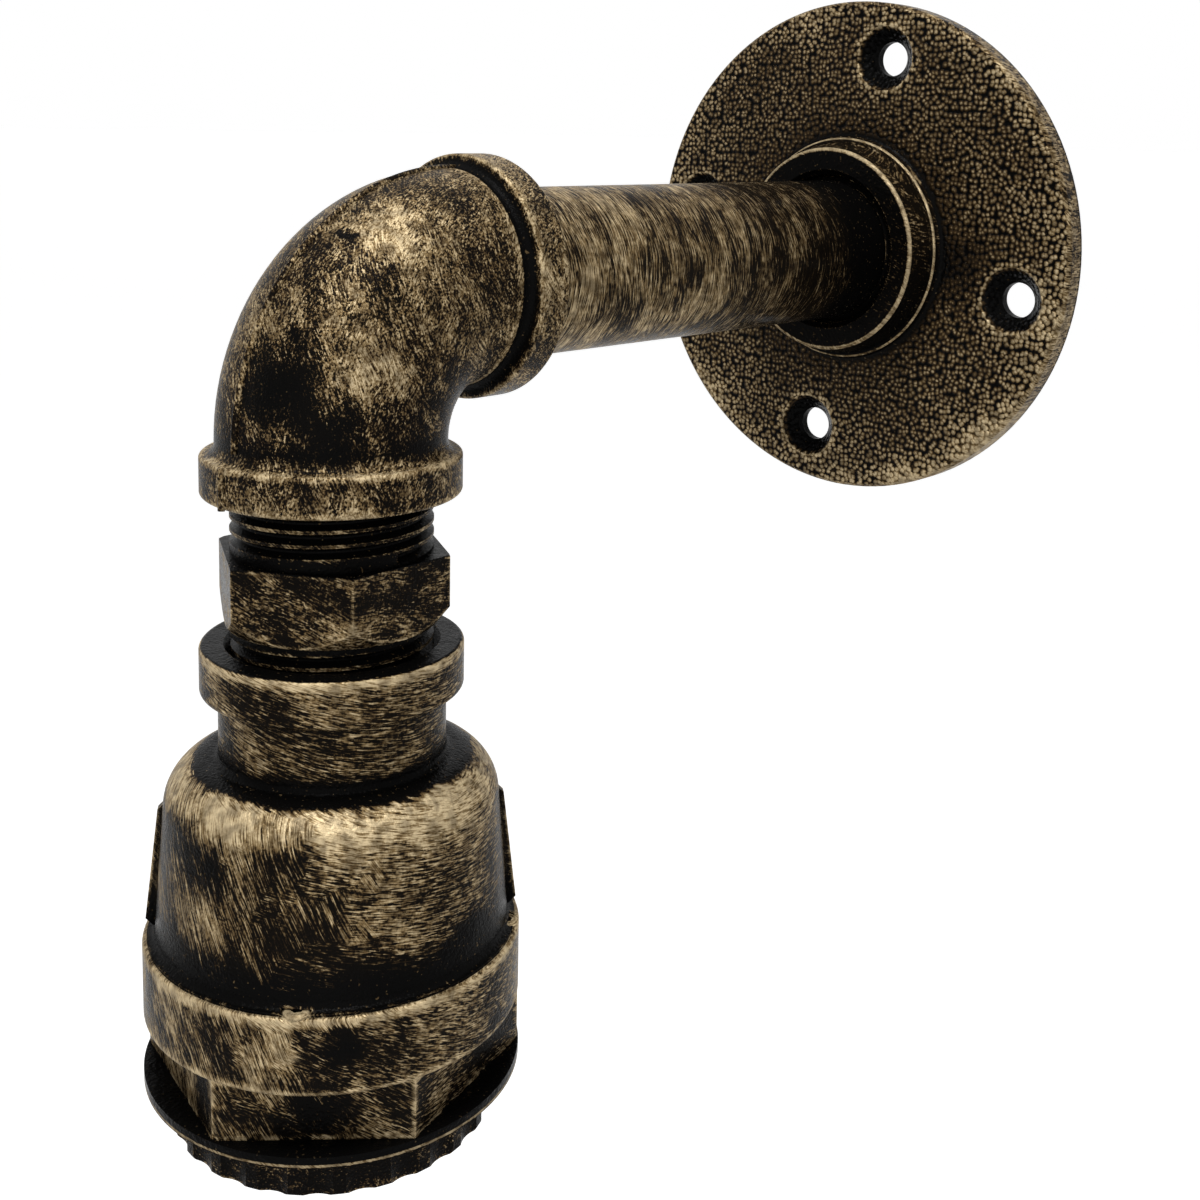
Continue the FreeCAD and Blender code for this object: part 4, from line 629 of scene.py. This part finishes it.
def with_marks(cover, marks):
    """Adds lighter or darker marks to a cover, each a (place, reach, gain) in millimetres."""
    def marked(tree, place):
        result = cover(tree, place)
        ragged = drifted(tree, place, 0.30, MARK_DRIFT, 3.0, 0.6)
        for middle, reach, gain in marks:
            away = vector_calc(tree, "LENGTH", vector_calc(tree, "SUBTRACT", ragged, middle))
            near = remap(tree, away, 0.0, reach, 1.0, 0.0, kind="SMOOTHSTEP")
            result = calc(tree, "MULTIPLY_ADD", near, gain, result)
        return result
    return marked


def to_wall_hole(tree, place):
    """Distance from the nearest wall-screw hole's axis, in millimetres."""
    turn = math.radians(HOLE_CLOCK)
    axes = (math.cos(turn), 0.0, -math.sin(turn)), (math.sin(turn), 0.0, math.cos(turn))
    along, beside = (calc(tree, "ABSOLUTE", vector_calc(tree, "DOT_PRODUCT", place, axis)) for axis in axes)
    far = calc(tree, "SUBTRACT", calc(tree, "MAXIMUM", along, beside), HOLE_REACH)
    near = calc(tree, "MINIMUM", along, beside)
    return calc(tree, "SQRT", total(tree, *(calc(tree, "POWER", way, 2.0) for way in (far, near))))


def pebbled_share(tree, place):
    """1 on the flange's front face, 0 on its hub, rim and back."""
    reach = off_arm(tree, place)
    begin, whole, fading, end = PEBBLED_RING
    outside = remap(tree, reach, begin, whole)
    inside = remap(tree, reach, end, fading)
    in_front = calc(tree, "LESS_THAN", coordinate(tree, place, "Y"), -2.0)
    return product(tree, outside, inside, in_front)


def near_radius(tree, reach, radius, margin):
    """1 within a margin of a radius."""
    return calc(tree, "LESS_THAN", calc(tree, "ABSOLUTE", calc(tree, "SUBTRACT", reach, radius)), margin)


def flange_cover(tree, place):
    """Little brass on the hub and round its root, partly painted shade of the hub; black in the screw holes;
    brass towards the rim and on the hub's edges; brass on the hub wall's upper right and black on its lower
    side, as painted light and shade.
    """
    reach = off_arm(tree, place)
    # Low cover on the hub and just outside its root is partly painted shade of the hub.
    by_reach_with_hub_shade = level_ramp(tree, reach, [
        (12.0, 0.08), (18.0, 0.12), (20.1, 0.12), (20.4, 0.1), (21.4, 0.32), (23.0, 0.42), (27.0, 0.50),
        (33.0, 0.53), (39.0, 0.55), (42.0, 0.68), (43.3, 0.70), (44.0, 0.62)])
    hole = level_ramp(tree, to_wall_hole(tree, place), [(4.6, -1.0), (5.2, -0.3), (5.6, 0.30), (7.4, 0.0)])
    low_right = vector_calc(tree, "DOT_PRODUCT", place, (0.0004, 0.0, -0.0012))
    lit_upper_right = vector_calc(tree, "DOT_PRODUCT", place, (0.009, 0.0, 0.020))
    depth = coordinate(tree, place, "Y")
    front_edge = product(tree, remap(tree, reach, *HUB_EDGE), calc(tree, "LESS_THAN", depth, HUB_FRONT))
    step_edge = product(tree, near_radius(tree, reach, HUB_STEP, 0.32),
                        calc(tree, "LESS_THAN", depth, STEP_FRONT))
    # The hub wall gets brass on its upper right and black lower down: painted light and shade of the overhead
    # lamp.
    hub_wall_light_and_shade = product(tree, near_radius(tree, reach, HUB_WALL, 1.2), lit_upper_right)
    hub_wall_light_and_shade = calc(tree, "MAXIMUM", calc(tree, "MINIMUM", hub_wall_light_and_shade, 0.24), -0.3)
    on_back = remap(tree, depth, *FLANGE_BACK, 0.0, -0.45)
    edges = total(tree, product(tree, front_edge, 0.85), product(tree, step_edge, 0.75))
    return total(tree, by_reach_with_hub_shade, hole, low_right, on_back, hub_wall_light_and_shade, edges)


def nipple_cover(tree, place):
    """Brass on the hexagon, and pale lines on the thread's crests that are partly rubbed brass, partly
    painted highlight.
    """
    by_level = level_ramp(tree, coordinate(tree, place, "Z"), [
        (-60.0, -0.3), (-44.3, -0.3), (-43.9, 0.40), (-41.5, 0.46), (-39.5, 0.40), (-34.7, 0.40),
        (-34.35, -0.22), (-15.0, -0.3)])
    reach = off_stack(tree, place)
    # The crest lines stand partly for the highlight that the crests catch: painted highlight.
    crest_brass_and_highlight = product(tree, remap(tree, reach, 13.15, 13.27), calc(tree, "LESS_THAN", reach, 13.6))
    crest_highlight_gain = level_ramp(tree, coordinate(tree, place, "Z"), [
        (-50.0, 0.56), (-45.2, 0.56), (-44.6, 0.2), (-33.6, 0.2), (-32.8, 0.34), (-32.2, 0.58),
        (-15.0, 0.58)])
    return calc(tree, "MULTIPLY_ADD", crest_brass_and_highlight, crest_highlight_gain, by_level)


def bell_cover(tree, place):
    """Follows the bell's outline: black neck root, bright shoulder, black foot."""
    drop = calc(tree, "SUBTRACT", NECK_FOOT, coordinate(tree, place, "Z"))
    outward = calc(tree, "SUBTRACT", off_stack(tree, place), NECK_RADIUS)
    along = calc(tree, "MULTIPLY_ADD", outward, 0.6, drop)
    return level_ramp(tree, along, [
        (-18.0, -0.4), (-14.4, -0.4), (-14.05, 0.95), (-13.2, 0.85), (-12.5, 0.46), (-8.0, 0.50),
        (-3.0, 0.54), (-1.6, 0.32), (-0.4, -0.4), (1.6, -0.4), (2.8, 0.55), (4.2, 0.86), (7.0, 0.80),
        (9.5, 0.54), (12.5, 0.45), (20.0, 0.47), (22.5, 0.40), (24.3, 0.22), (26.5, 0.02), (28.5, -0.30)])


def base_turn(tree, place):
    """Steep strokes on the left of the base, slanted ones on its right."""
    return vector_calc(tree, "DOT_PRODUCT", from_stack(tree, place), (0.011, 0.010, 0.0))


def bell_turn(tree, place):
    """As on the base, with level strokes on the neck."""
    on_neck = remap(tree, coordinate(tree, place, "Z"), -64.0, -62.5, 0.0, 0.4)
    return total(tree, base_turn(tree, place), on_neck)


def elbow_cover(tree, place):
    """Even, but a little darker low on the body and lighter near its top; bare black lacquer in the hollows
    beside its two bands; brass on the band edges; and a lighter brass line on the body's side of the wall
    band's groove, which is painted highlight of the fillet.
    """
    # The lighter line at Y -100.6 to -100.2 is painted highlight of the fillet; the black beyond it is
    # lacquer in the groove.
    beside_wall_band_and_highlight = level_ramp(tree, coordinate(tree, place, "Y"), [
        (-103.0, 0.0), (-101.4, 0.04), (-100.6, 0.26), (-100.2, 0.26), (-99.9, -0.8), (-98.8, -0.8),
        (-98.5, 0.22), (-97.4, 0.08), (-90.0, 0.08)])
    low = level_ramp(tree, coordinate(tree, place, "Z"), [
        (-26.8, 0.04), (-21.5, -0.06), (-12.0, -0.04), (-4.0, 0.06)])
    beside_low_band = level_ramp(tree, coordinate(tree, place, "Z"), [
        (-27.0, 0.20), (-26.4, 0.22), (-25.8, 0.04), (-22.3, 0.04), (-21.7, 0.36), (-21.4, 0.36),
        (-21.2, 0.12), (-20.4, 0.06), (-19.4, -0.24), (-17.5, 0.0)])
    return total(tree, beside_wall_band_and_highlight, beside_low_band, low, ELBOW_COVER)


# ------------------------ extra meshes

def mesh_object(name, rows, material, tube=False, body=ROOT_BODY):
    """A new piece with a skin over rows of points, riding on a body."""
    mesh = bpy.data.meshes.new(name)
    work = bmesh.new()
    skin_rows(work, rows, tube)
    bmesh.ops.recalc_face_normals(work, faces=work.faces)
    work.to_mesh(mesh)
    work.free()
    mesh.polygons.foreach_set("use_smooth", [True] * len(mesh.polygons))
    mesh.materials.append(material)
    piece = bpy.data.objects.new(name, mesh)
    bpy.context.scene.collection.objects.link(piece)
    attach(piece, body)
    return piece


def skin_rows(work, rows, tube):
    """A closed skin over rows of points: each row is a ring. tube joins the last row to the first."""
    grid = [[work.verts.new(point) for point in row] for row in rows]
    for one, other in zip(grid, grid[1:] + grid[:1] if tube else grid[1:]):
        for index in range(len(one)):
            after = (index + 1) % len(one)
            work.faces.new((one[index], one[after], other[after], other[index]))
    if not tube:
        work.faces.new(grid[0])
        work.faces.new(grid[-1])


def ridge_section(width, height):
    """The outline of a casting seam: (sideways, outward) points, with its foot just under the skin."""
    sunk = -0.3 * height
    return [(-width / 2, sunk), (-width * 0.40, height * 0.35), (-width * 0.2, height * 0.85), (0.0, height),
            (width * 0.2, height * 0.85), (width * 0.40, height * 0.35), (width / 2, sunk)]


def elbow_seam_rows(width, height):
    """The seam runs over the outside of the bend, in the plane of arm and stack."""
    rows = []
    start, end = math.radians(SEAM_START), math.pi
    for step in range(SEAM_STEPS + 1):
        angle = start + (end - start) * step / SEAM_STEPS
        outward = Vector((0.0, math.cos(angle), math.sin(angle)))
        foot = Vector((0.0, *BEND_MIDDLE)) + outward * BEND_OUTSIDE
        rows.append([foot + outward * out + Vector((side, 0.0, 0.0))
                     for side, out in ridge_section(width, height)])
    return rows


def band_seam_rows(width, height, top, foot):
    """The same seam over the elbow's lower band."""
    return [[Vector((side, STACK_Y - BAND_RADIUS - out, level)) for side, out in ridge_section(width, height)]
            for level in (top, foot)]


def shell_outline():
    """The screw shell's section from its lip up the inside, over its floor and down the outside, as
    (radius, level, share of the thread) in millimetres."""
    low, high = THREADED_PART
    barrel = []
    for step in range(THREAD_LEVELS + 1):
        fade = min(1.0, step / THREAD_FADE, (THREAD_LEVELS - step) / THREAD_FADE)
        barrel.append((SHELL_BORE, low + (high - low) * step / THREAD_LEVELS, fade))
    outside = [(radius + SHELL_SHEET, level, fade) for radius, level, fade in reversed(barrel)]
    return SHELL_LIP + barrel + SHELL_FLOOR + outside + SHELL_LIP_OUTSIDE


def lamp_thread_rows(pitch, depth):
    """The screw shell with its rolled right-hand thread."""
    rows = []
    for radius, level, fade in shell_outline():
        row = []
        for step in range(THREAD_STEPS):
            turn = 2 * math.pi * step / THREAD_STEPS
            wave = 0.5 - 0.5 * math.cos(2 * math.pi * level * MM / pitch - turn)
            reach = radius * MM - depth * fade * wave
            row.append(Vector((reach * math.cos(turn), STACK_Y + reach * math.sin(turn), level * MM)))
        rows.append(row)
    return rows


# ------------------------ operators

class DressPiece:
    """A dressing step: dress() gets the finish and the cast details set in the scene."""
    bl_options = {"REGISTER", "UNDO"}

    def execute(self, context):
        self.dress(context.scene.pipe_light_finish, context.scene.pipe_light_details)
        return {"FINISHED"}


class PIPELIGHT_OT_wall_flange(DressPiece, bpy.types.Operator):
    """Finish the wall flange: pebbled casting, dark by the hub and brass at the rim and hub edges"""
    bl_idname = "pipe_light.wall_flange"
    bl_label = "Wall flange"

    def dress(self, look, details):
        paint("wall_flange", rubbed_lacquer(
            "Flange lacquer", look, with_marks(flange_cover, FLANGE_MARKS_AND_HUB_SHADOW), FLANGE_SWEEP, ACROSS_SWEEP,
            stroke=(2.2, 0.28), speckle=0.90, grain_size=0.45, edge_gain=0.3, hollow_loss=0.3,
            patch_size=9.0, patch_gain=0.35, tint=1.5, strength=0.8,
            pebbles=(details.pebble_size, details.pebble_height, pebbled_share)))


class PIPELIGHT_OT_arm_pipe(DressPiece, bpy.types.Operator):
    """Finish the arm pipe: fine brush strokes round it, dark under the hub"""
    bl_idname = "pipe_light.arm_pipe"
    bl_label = "Arm pipe"

    def dress(self, look, details):
        cover = cover_by_level("Y", [
            (-105.0, -0.3), (-94.0, -0.3), (-92.8, 0.66), (-80.0, 0.58), (-55.0, 0.48), (-34.0, 0.36),
            (-22.0, 0.22), (-12.0, -0.4), (0.0, -0.4)])
        paint("arm_pipe", rubbed_lacquer(
            "Arm pipe lacquer", look, cover, ALONG_ARM, (0.15, 0.97, 0.18), stroke=(3.6, 0.22),
            speckle=0.14, grain_depth=0.00002, patch_size=6.0, patch_gain=0.9, tint=0.12))


class PIPELIGHT_OT_elbow(DressPiece, bpy.types.Operator):
    """Finish the elbow: steep strokes over cast grain, brass on its bands, and its casting seam"""
    bl_idname = "pipe_light.elbow"
    bl_label = "Elbow"

    def dress(self, look, details):
        paint("elbow", rubbed_lacquer(
            "Elbow lacquer", look, with_marks(elbow_cover, ELBOW_MARKS_AND_LIGHT), ELBOW_SWEEP, ELBOW_CROSS,
            stroke=(1.5, 0.28), wander=1.4, speckle=0.46, grain_size=0.30, edge_gain=0.6, patch_size=4.0,
            patch_gain=0.7, tint=0.05))
        ridge = rubbed_lacquer(
            "Seam lacquer", look, even_cover(0.46), ELBOW_SWEEP, ELBOW_CROSS, stroke=(1.6, 0.26), speckle=0.5,
            grain_size=0.4, hollow_loss=0.3, patch_size=5.0, edge_gain=0.2)
        size = details.seam_width, details.seam_height
        mesh_object("elbow_seam", elbow_seam_rows(*size), ridge)
        mesh_object("elbow_band_seam", band_seam_rows(*size, *BAND_LEVELS), ridge)


class PIPELIGHT_OT_hex_nipple(DressPiece, bpy.types.Operator):
    """Finish the hexagon nipple: black threads and a brushed hexagon"""
    bl_idname = "pipe_light.hex_nipple"
    bl_label = "Hexagon nipple"

    def dress(self, look, details):
        paint("hex_nipple", rubbed_lacquer(
            "Nipple lacquer", look, nipple_cover, SLANTED, NEARLY_LEVEL, stroke=(1.9, 0.22),
            wander=1.4, speckle=0.35, grain_size=0.36, edge_reach=0.0009, edge_gain=0.36, patch_size=4.0))


class PIPELIGHT_OT_bell_housing(DressPiece, bpy.types.Operator):
    """Finish the bell: a bright brass band on its shoulder and sweeping strokes below"""
    bl_idname = "pipe_light.bell_housing"
    bl_label = "Bell housing"

    def dress(self, look, details):
        paint("bell_housing", rubbed_lacquer(
            "Bell lacquer", look, with_marks(bell_cover, BELL_MARKS), STEEP, NEARLY_LEVEL,
            stroke=(3.0, 0.22), wander=0.5, turn=bell_turn, speckle=0.22, grain_size=0.42, patch_size=8.0,
            patch_gain=0.9))


class PIPELIGHT_OT_hex_base(DressPiece, bpy.types.Operator):
    """Finish the base: brass along its rims and edges, darker flats"""
    bl_idname = "pipe_light.hex_base"
    bl_label = "Hexagonal base"

    def dress(self, look, details):
        cover = cover_by_level("Z", [
            (-105.0, -0.4), (-104.35, -0.1), (-104.0, 0.40), (-97.2, 0.44), (-96.6, 0.70), (-96.0, 0.68),
            (-95.2, 0.50), (-88.0, 0.50), (-87.3, 0.80), (-86.7, 0.88), (-86.3, 0.30)])
        paint("hex_base", rubbed_lacquer(
            "Base lacquer", look, with_marks(cover, BASE_MARKS), STEEP, SLANTED,
            stroke=(2.2, 0.20), wander=1.0, turn=base_turn, speckle=0.20, grain_size=0.42, edge_reach=0.0012,
            edge_gain=0.7, patch_size=5.0, patch_gain=1.1))


class PIPELIGHT_OT_lock_screws(DressPiece, bpy.types.Operator):
    """Finish the lock screws in the seam of bell and base"""
    bl_idname = "pipe_light.lock_screws"
    bl_label = "Lock screws"

    def dress(self, look, details):
        material = rubbed_lacquer("Screw lacquer", look, even_cover(0.72), ALONG_STACK, STEEP,
                                  stroke=(1.2, 0.2), hollow_loss=1.4, patch_size=3.0)
        for name in sorted(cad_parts):
            if name.startswith("seam_screw"):
                paint(name, material)


class PIPELIGHT_OT_shade_washer(DressPiece, bpy.types.Operator):
    """Finish the shade washer: glossy black with a thin brass line at its edge"""
    bl_idname = "pipe_light.shade_washer"
    bl_label = "Shade washer"

    def dress(self, look, details):
        cover = cover_by_level("Z", [
            (-106.0, 0.0), (-105.85, 0.1), (-105.75, 0.9), (-105.5, 0.9), (-105.4, -0.5), (-104.0, -0.5)])
        paint("shade_washer", rubbed_lacquer(
            "Washer lacquer", look, cover, ALONG_STACK, (0.4, 0.4, 0.8), stroke=(3.5, 0.3),
            edge_gain=0.2, patch_gain=0.6, hollow_loss=0.2, strength=0.6))


class PIPELIGHT_OT_shade_ring(DressPiece, bpy.types.Operator):
    """Finish the shade ring: moulded black with brass specks on its lobes"""
    bl_idname = "pipe_light.shade_ring"
    bl_label = "Shade ring"

    def dress(self, look, details):
        paint("shade_ring", rubbed_lacquer(
            "Ring lacquer", look, even_cover(0.22), ALONG_STACK, STEEP, stroke=(1.2, 0.2),
            speckle=0.5, grain_size=0.30, edge_gain=0.25, patch_size=3.0, patch_gain=0.6))


class PIPELIGHT_OT_lampholder(DressPiece, bpy.types.Operator):
    """Finish the lampholder's black mouldings and its white ceramic insert"""
    bl_idname = "pipe_light.lampholder"
    bl_label = "Lampholder"

    def dress(self, look, details):
        moulding = plain_finish("Black moulding", (0.012, 0.011, 0.011), (0.030, 0.026, 0.024), 0.36, 0.0,
                                coat=0.15, brushed=0.2)
        paint("lampholder_cap", moulding)
        paint("lampholder_skirt", moulding)
        paint("lampholder_insert", plain_finish(
            "Glazed ceramic", (0.80, 0.78, 0.72), (0.62, 0.58, 0.50), 0.22, 0.0, coat=0.5, brushed=0.05))


class PIPELIGHT_OT_contacts(DressPiece, bpy.types.Operator):
    """Finish the brass contacts, terminals and rivets, and roll the thread into the screw shell"""
    bl_idname = "pipe_light.contacts"
    bl_label = "Contacts"

    def dress(self, look, details):
        brass = plain_finish("Contact brass", (0.60, 0.43, 0.16), (0.34, 0.21, 0.07), 0.32, 0.95)
        for name in ("live_terminal", "neutral_terminal", "live_rivet", "neutral_rivet", "contact_strip",
                     "centre_contact", "screw_shell"):
            paint(name, brass)
        zinc = plain_finish("Zinc plate", (0.62, 0.62, 0.60), (0.38, 0.38, 0.36), 0.34, 0.95)
        for name in ("live_terminal_screw", "neutral_terminal_screw", "threaded_tube", "lock_nut"):
            paint(name, zinc)
        tinned = plain_finish("Tinned brass", (0.70, 0.69, 0.66), (0.45, 0.44, 0.42), 0.30, 0.95)
        for name in ("earth_tag", "live_ferrule", "neutral_ferrule", "earth_ferrule"):
            paint(name, tinned)
        rows = lamp_thread_rows(details.thread_pitch, details.thread_depth)
        shell = mesh_object("rolled_screw_shell", rows, brass, tube=True)
        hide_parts("screw_shell")


class PIPELIGHT_OT_leads(DressPiece, bpy.types.Operator):
    """Finish the live, neutral and earth leads"""
    bl_idname = "pipe_light.leads"
    bl_label = "Leads"

    def dress(self, look, details):
        for name, colour, second in (("live_wire", (0.16, 0.06, 0.025), (0.10, 0.035, 0.015)),
                                     ("neutral_wire", (0.03, 0.12, 0.42), (0.02, 0.08, 0.30)),
                                     ("earth_wire", (0.12, 0.36, 0.06), (0.08, 0.26, 0.04))):
            paint(name, plain_finish(f"{name} insulation", colour, second, 0.48, 0.0, speck=0.6, brushed=0.1))


# ------------------------ studio

def seen_or_mirrored(tree):
    """1 for rays that show the background: straight, mirrored or through glass."""
    path = new_node(tree, "ShaderNodeLightPath").outputs
    mirrored = calc(tree, "MAXIMUM", path["Is Glossy Ray"], path["Is Transmission Ray"])
    return calc(tree, "MAXIMUM", path["Is Camera Ray"], mirrored)


def white_world(ambient):
    world = bpy.data.worlds.new("Studio")
    world.use_nodes = True
    tree = world.node_tree
    tree.nodes.clear()
    sky = new_node(tree, "ShaderNodeBackground")
    sky.inputs["Color"].default_value = (1.0, 1.0, 1.0, 1.0)
    feed(tree, blend_value(tree, seen_or_mirrored(tree), ambient, 1.0), sky.inputs["Strength"])
    tree.links.new(sky.outputs["Background"], new_node(tree, "ShaderNodeOutputWorld").inputs["Surface"])
    bpy.context.scene.world = world


def floor_finish():
    """White, and lifted to full white for the camera, so that only a shadow darkens it."""
    material, tree, shader = new_material("Studio floor")
    place = new_node(tree, "ShaderNodeTexCoord").outputs["Object"]
    tint = blend_colour(tree, noise(tree, place, 3.0), (0.80, 0.80, 0.80, 1.0), (0.83, 0.83, 0.83, 1.0))
    feed(tree, tint, shader.inputs["Base Color"])
    shader.inputs["Roughness"].default_value = 0.9
    shader.inputs["Specular IOR Level"].default_value = 0.1
    shader.inputs["Emission Color"].default_value = (1.0, 1.0, 1.0, 1.0)
    feed(tree, product(tree, seen_or_mirrored(tree), 0.70), shader.inputs["Emission Strength"])
    return material


def area_lamp(name, middle, toward, far, spread, level):
    """A disk lamp. A white surface that faces it at the middle renders at the given level."""
    light = bpy.data.lights.new(name, "AREA")
    light.shape = "DISK"
    light.size = 2 * far * math.tan(spread / 2)
    light.energy = level * (math.pi * far) ** 2
    lamp = bpy.data.objects.new(name, light)
    direction = Vector(toward).normalized()
    lamp.location = middle + direction * far
    lamp.rotation_euler = (-direction).to_track_quat("-Z", "Y").to_euler()
    bpy.context.scene.collection.objects.link(lamp)


def camera_axes(studio):
    """The camera's right, up and forward directions."""
    yaw, pitch, roll = studio.heading, studio.tilt, studio.roll
    forward = Vector((-math.sin(yaw) * math.cos(pitch), math.cos(yaw) * math.cos(pitch), -math.sin(pitch)))
    level = Vector((math.cos(yaw), math.sin(yaw), 0.0))
    above = level.cross(forward)
    right = level * math.cos(roll) + above * math.sin(roll)
    return right, above * math.cos(roll) - level * math.sin(roll), forward


class PIPELIGHT_OT_studio(bpy.types.Operator):
    """Set the camera, lamps, world and floor"""
    bl_idname = "pipe_light.studio"
    bl_label = "Studio"
    bl_options = {"REGISTER", "UNDO"}

    def execute(self, context):
        studio = context.scene.pipe_light_studio
        right, above, forward = camera_axes(studio)
        data = bpy.data.cameras.new("Camera")
        data.sensor_width = 36.0
        data.lens = studio.lens
        data.shift_y = studio.shift_up
        data.clip_start = 0.005
        camera = bpy.data.objects.new("Camera", data)
        turn = Matrix((right, above, -forward)).transposed()
        camera.matrix_world = Matrix.Translation(studio.camera_place) @ turn.to_4x4()
        context.scene.collection.objects.link(camera)
        context.scene.camera = camera
        context.scene.view_settings.view_transform = "Standard"

        white_world(studio.ambient)
        low, high = CAD_BOX
        middle = (low + high) / 2
        area_lamp("Key", middle, (0.10, -0.20, 0.90), LAMP_DISTANCE, studio.key_spread, studio.key_power)
        area_lamp("Fill", middle, (0.62, -0.75, 0.12), LAMP_DISTANCE, studio.fill_spread, studio.fill_power)

        mesh = bpy.data.meshes.new("Floor")
        half = studio.floor_size / 2
        level = low.z - studio.floor_drop
        corners = [(-half, -half, level), (half, -half, level), (half, half, level), (-half, half, level)]
        mesh.from_pydata(corners, [], [(0, 1, 2, 3)])
        mesh.materials.append(floor_finish())
        floor = bpy.data.objects.new("Floor", mesh)
        context.scene.collection.objects.link(floor)
        return {"FINISHED"}


class PIPELIGHT_PT_sidebar(bpy.types.Panel):
    """Lists the settings and the dressing steps"""
    bl_idname = "PIPELIGHT_PT_sidebar"
    bl_label = "Pipe wall light"
    bl_space_type = "VIEW_3D"
    bl_region_type = "UI"
    bl_category = "Pipe Light"

    def draw(self, context):
        for settings in (context.scene.pipe_light_finish, context.scene.pipe_light_details,
                         context.scene.pipe_light_studio):
            box = self.layout.box()
            for name in settings.__annotations__:
                box.prop(settings, name)
        for step in STEPS:
            self.layout.operator(step.bl_idname)


SETTINGS = (RubbedLacquer, CastDetails, StudioSettings)
STEPS = (
    PIPELIGHT_OT_studio,
    PIPELIGHT_OT_wall_flange,
    PIPELIGHT_OT_arm_pipe,
    PIPELIGHT_OT_elbow,
    PIPELIGHT_OT_hex_nipple,
    PIPELIGHT_OT_bell_housing,
    PIPELIGHT_OT_hex_base,
    PIPELIGHT_OT_lock_screws,
    PIPELIGHT_OT_shade_washer,
    PIPELIGHT_OT_shade_ring,
    PIPELIGHT_OT_lampholder,
    PIPELIGHT_OT_contacts,
    PIPELIGHT_OT_leads,
)


def register():
    for kind in (*SETTINGS, *STEPS, PIPELIGHT_PT_sidebar):
        bpy.utils.register_class(kind)
    bpy.types.Scene.pipe_light_finish = bpy.props.PointerProperty(type=RubbedLacquer)
    bpy.types.Scene.pipe_light_details = bpy.props.PointerProperty(type=CastDetails)
    bpy.types.Scene.pipe_light_studio = bpy.props.PointerProperty(type=StudioSettings)


def unregister():
    for name in ("pipe_light_finish", "pipe_light_details", "pipe_light_studio"):
        delattr(bpy.types.Scene, name)
    for kind in reversed((*SETTINGS, *STEPS, PIPELIGHT_PT_sidebar)):
        bpy.utils.unregister_class(kind)


def main():
    register()
    make_shared_effects()
    for step in STEPS:
        family, name = step.bl_idname.split(".")
        getattr(getattr(bpy.ops, family), name)()


if __name__ == "__main__":
    main()
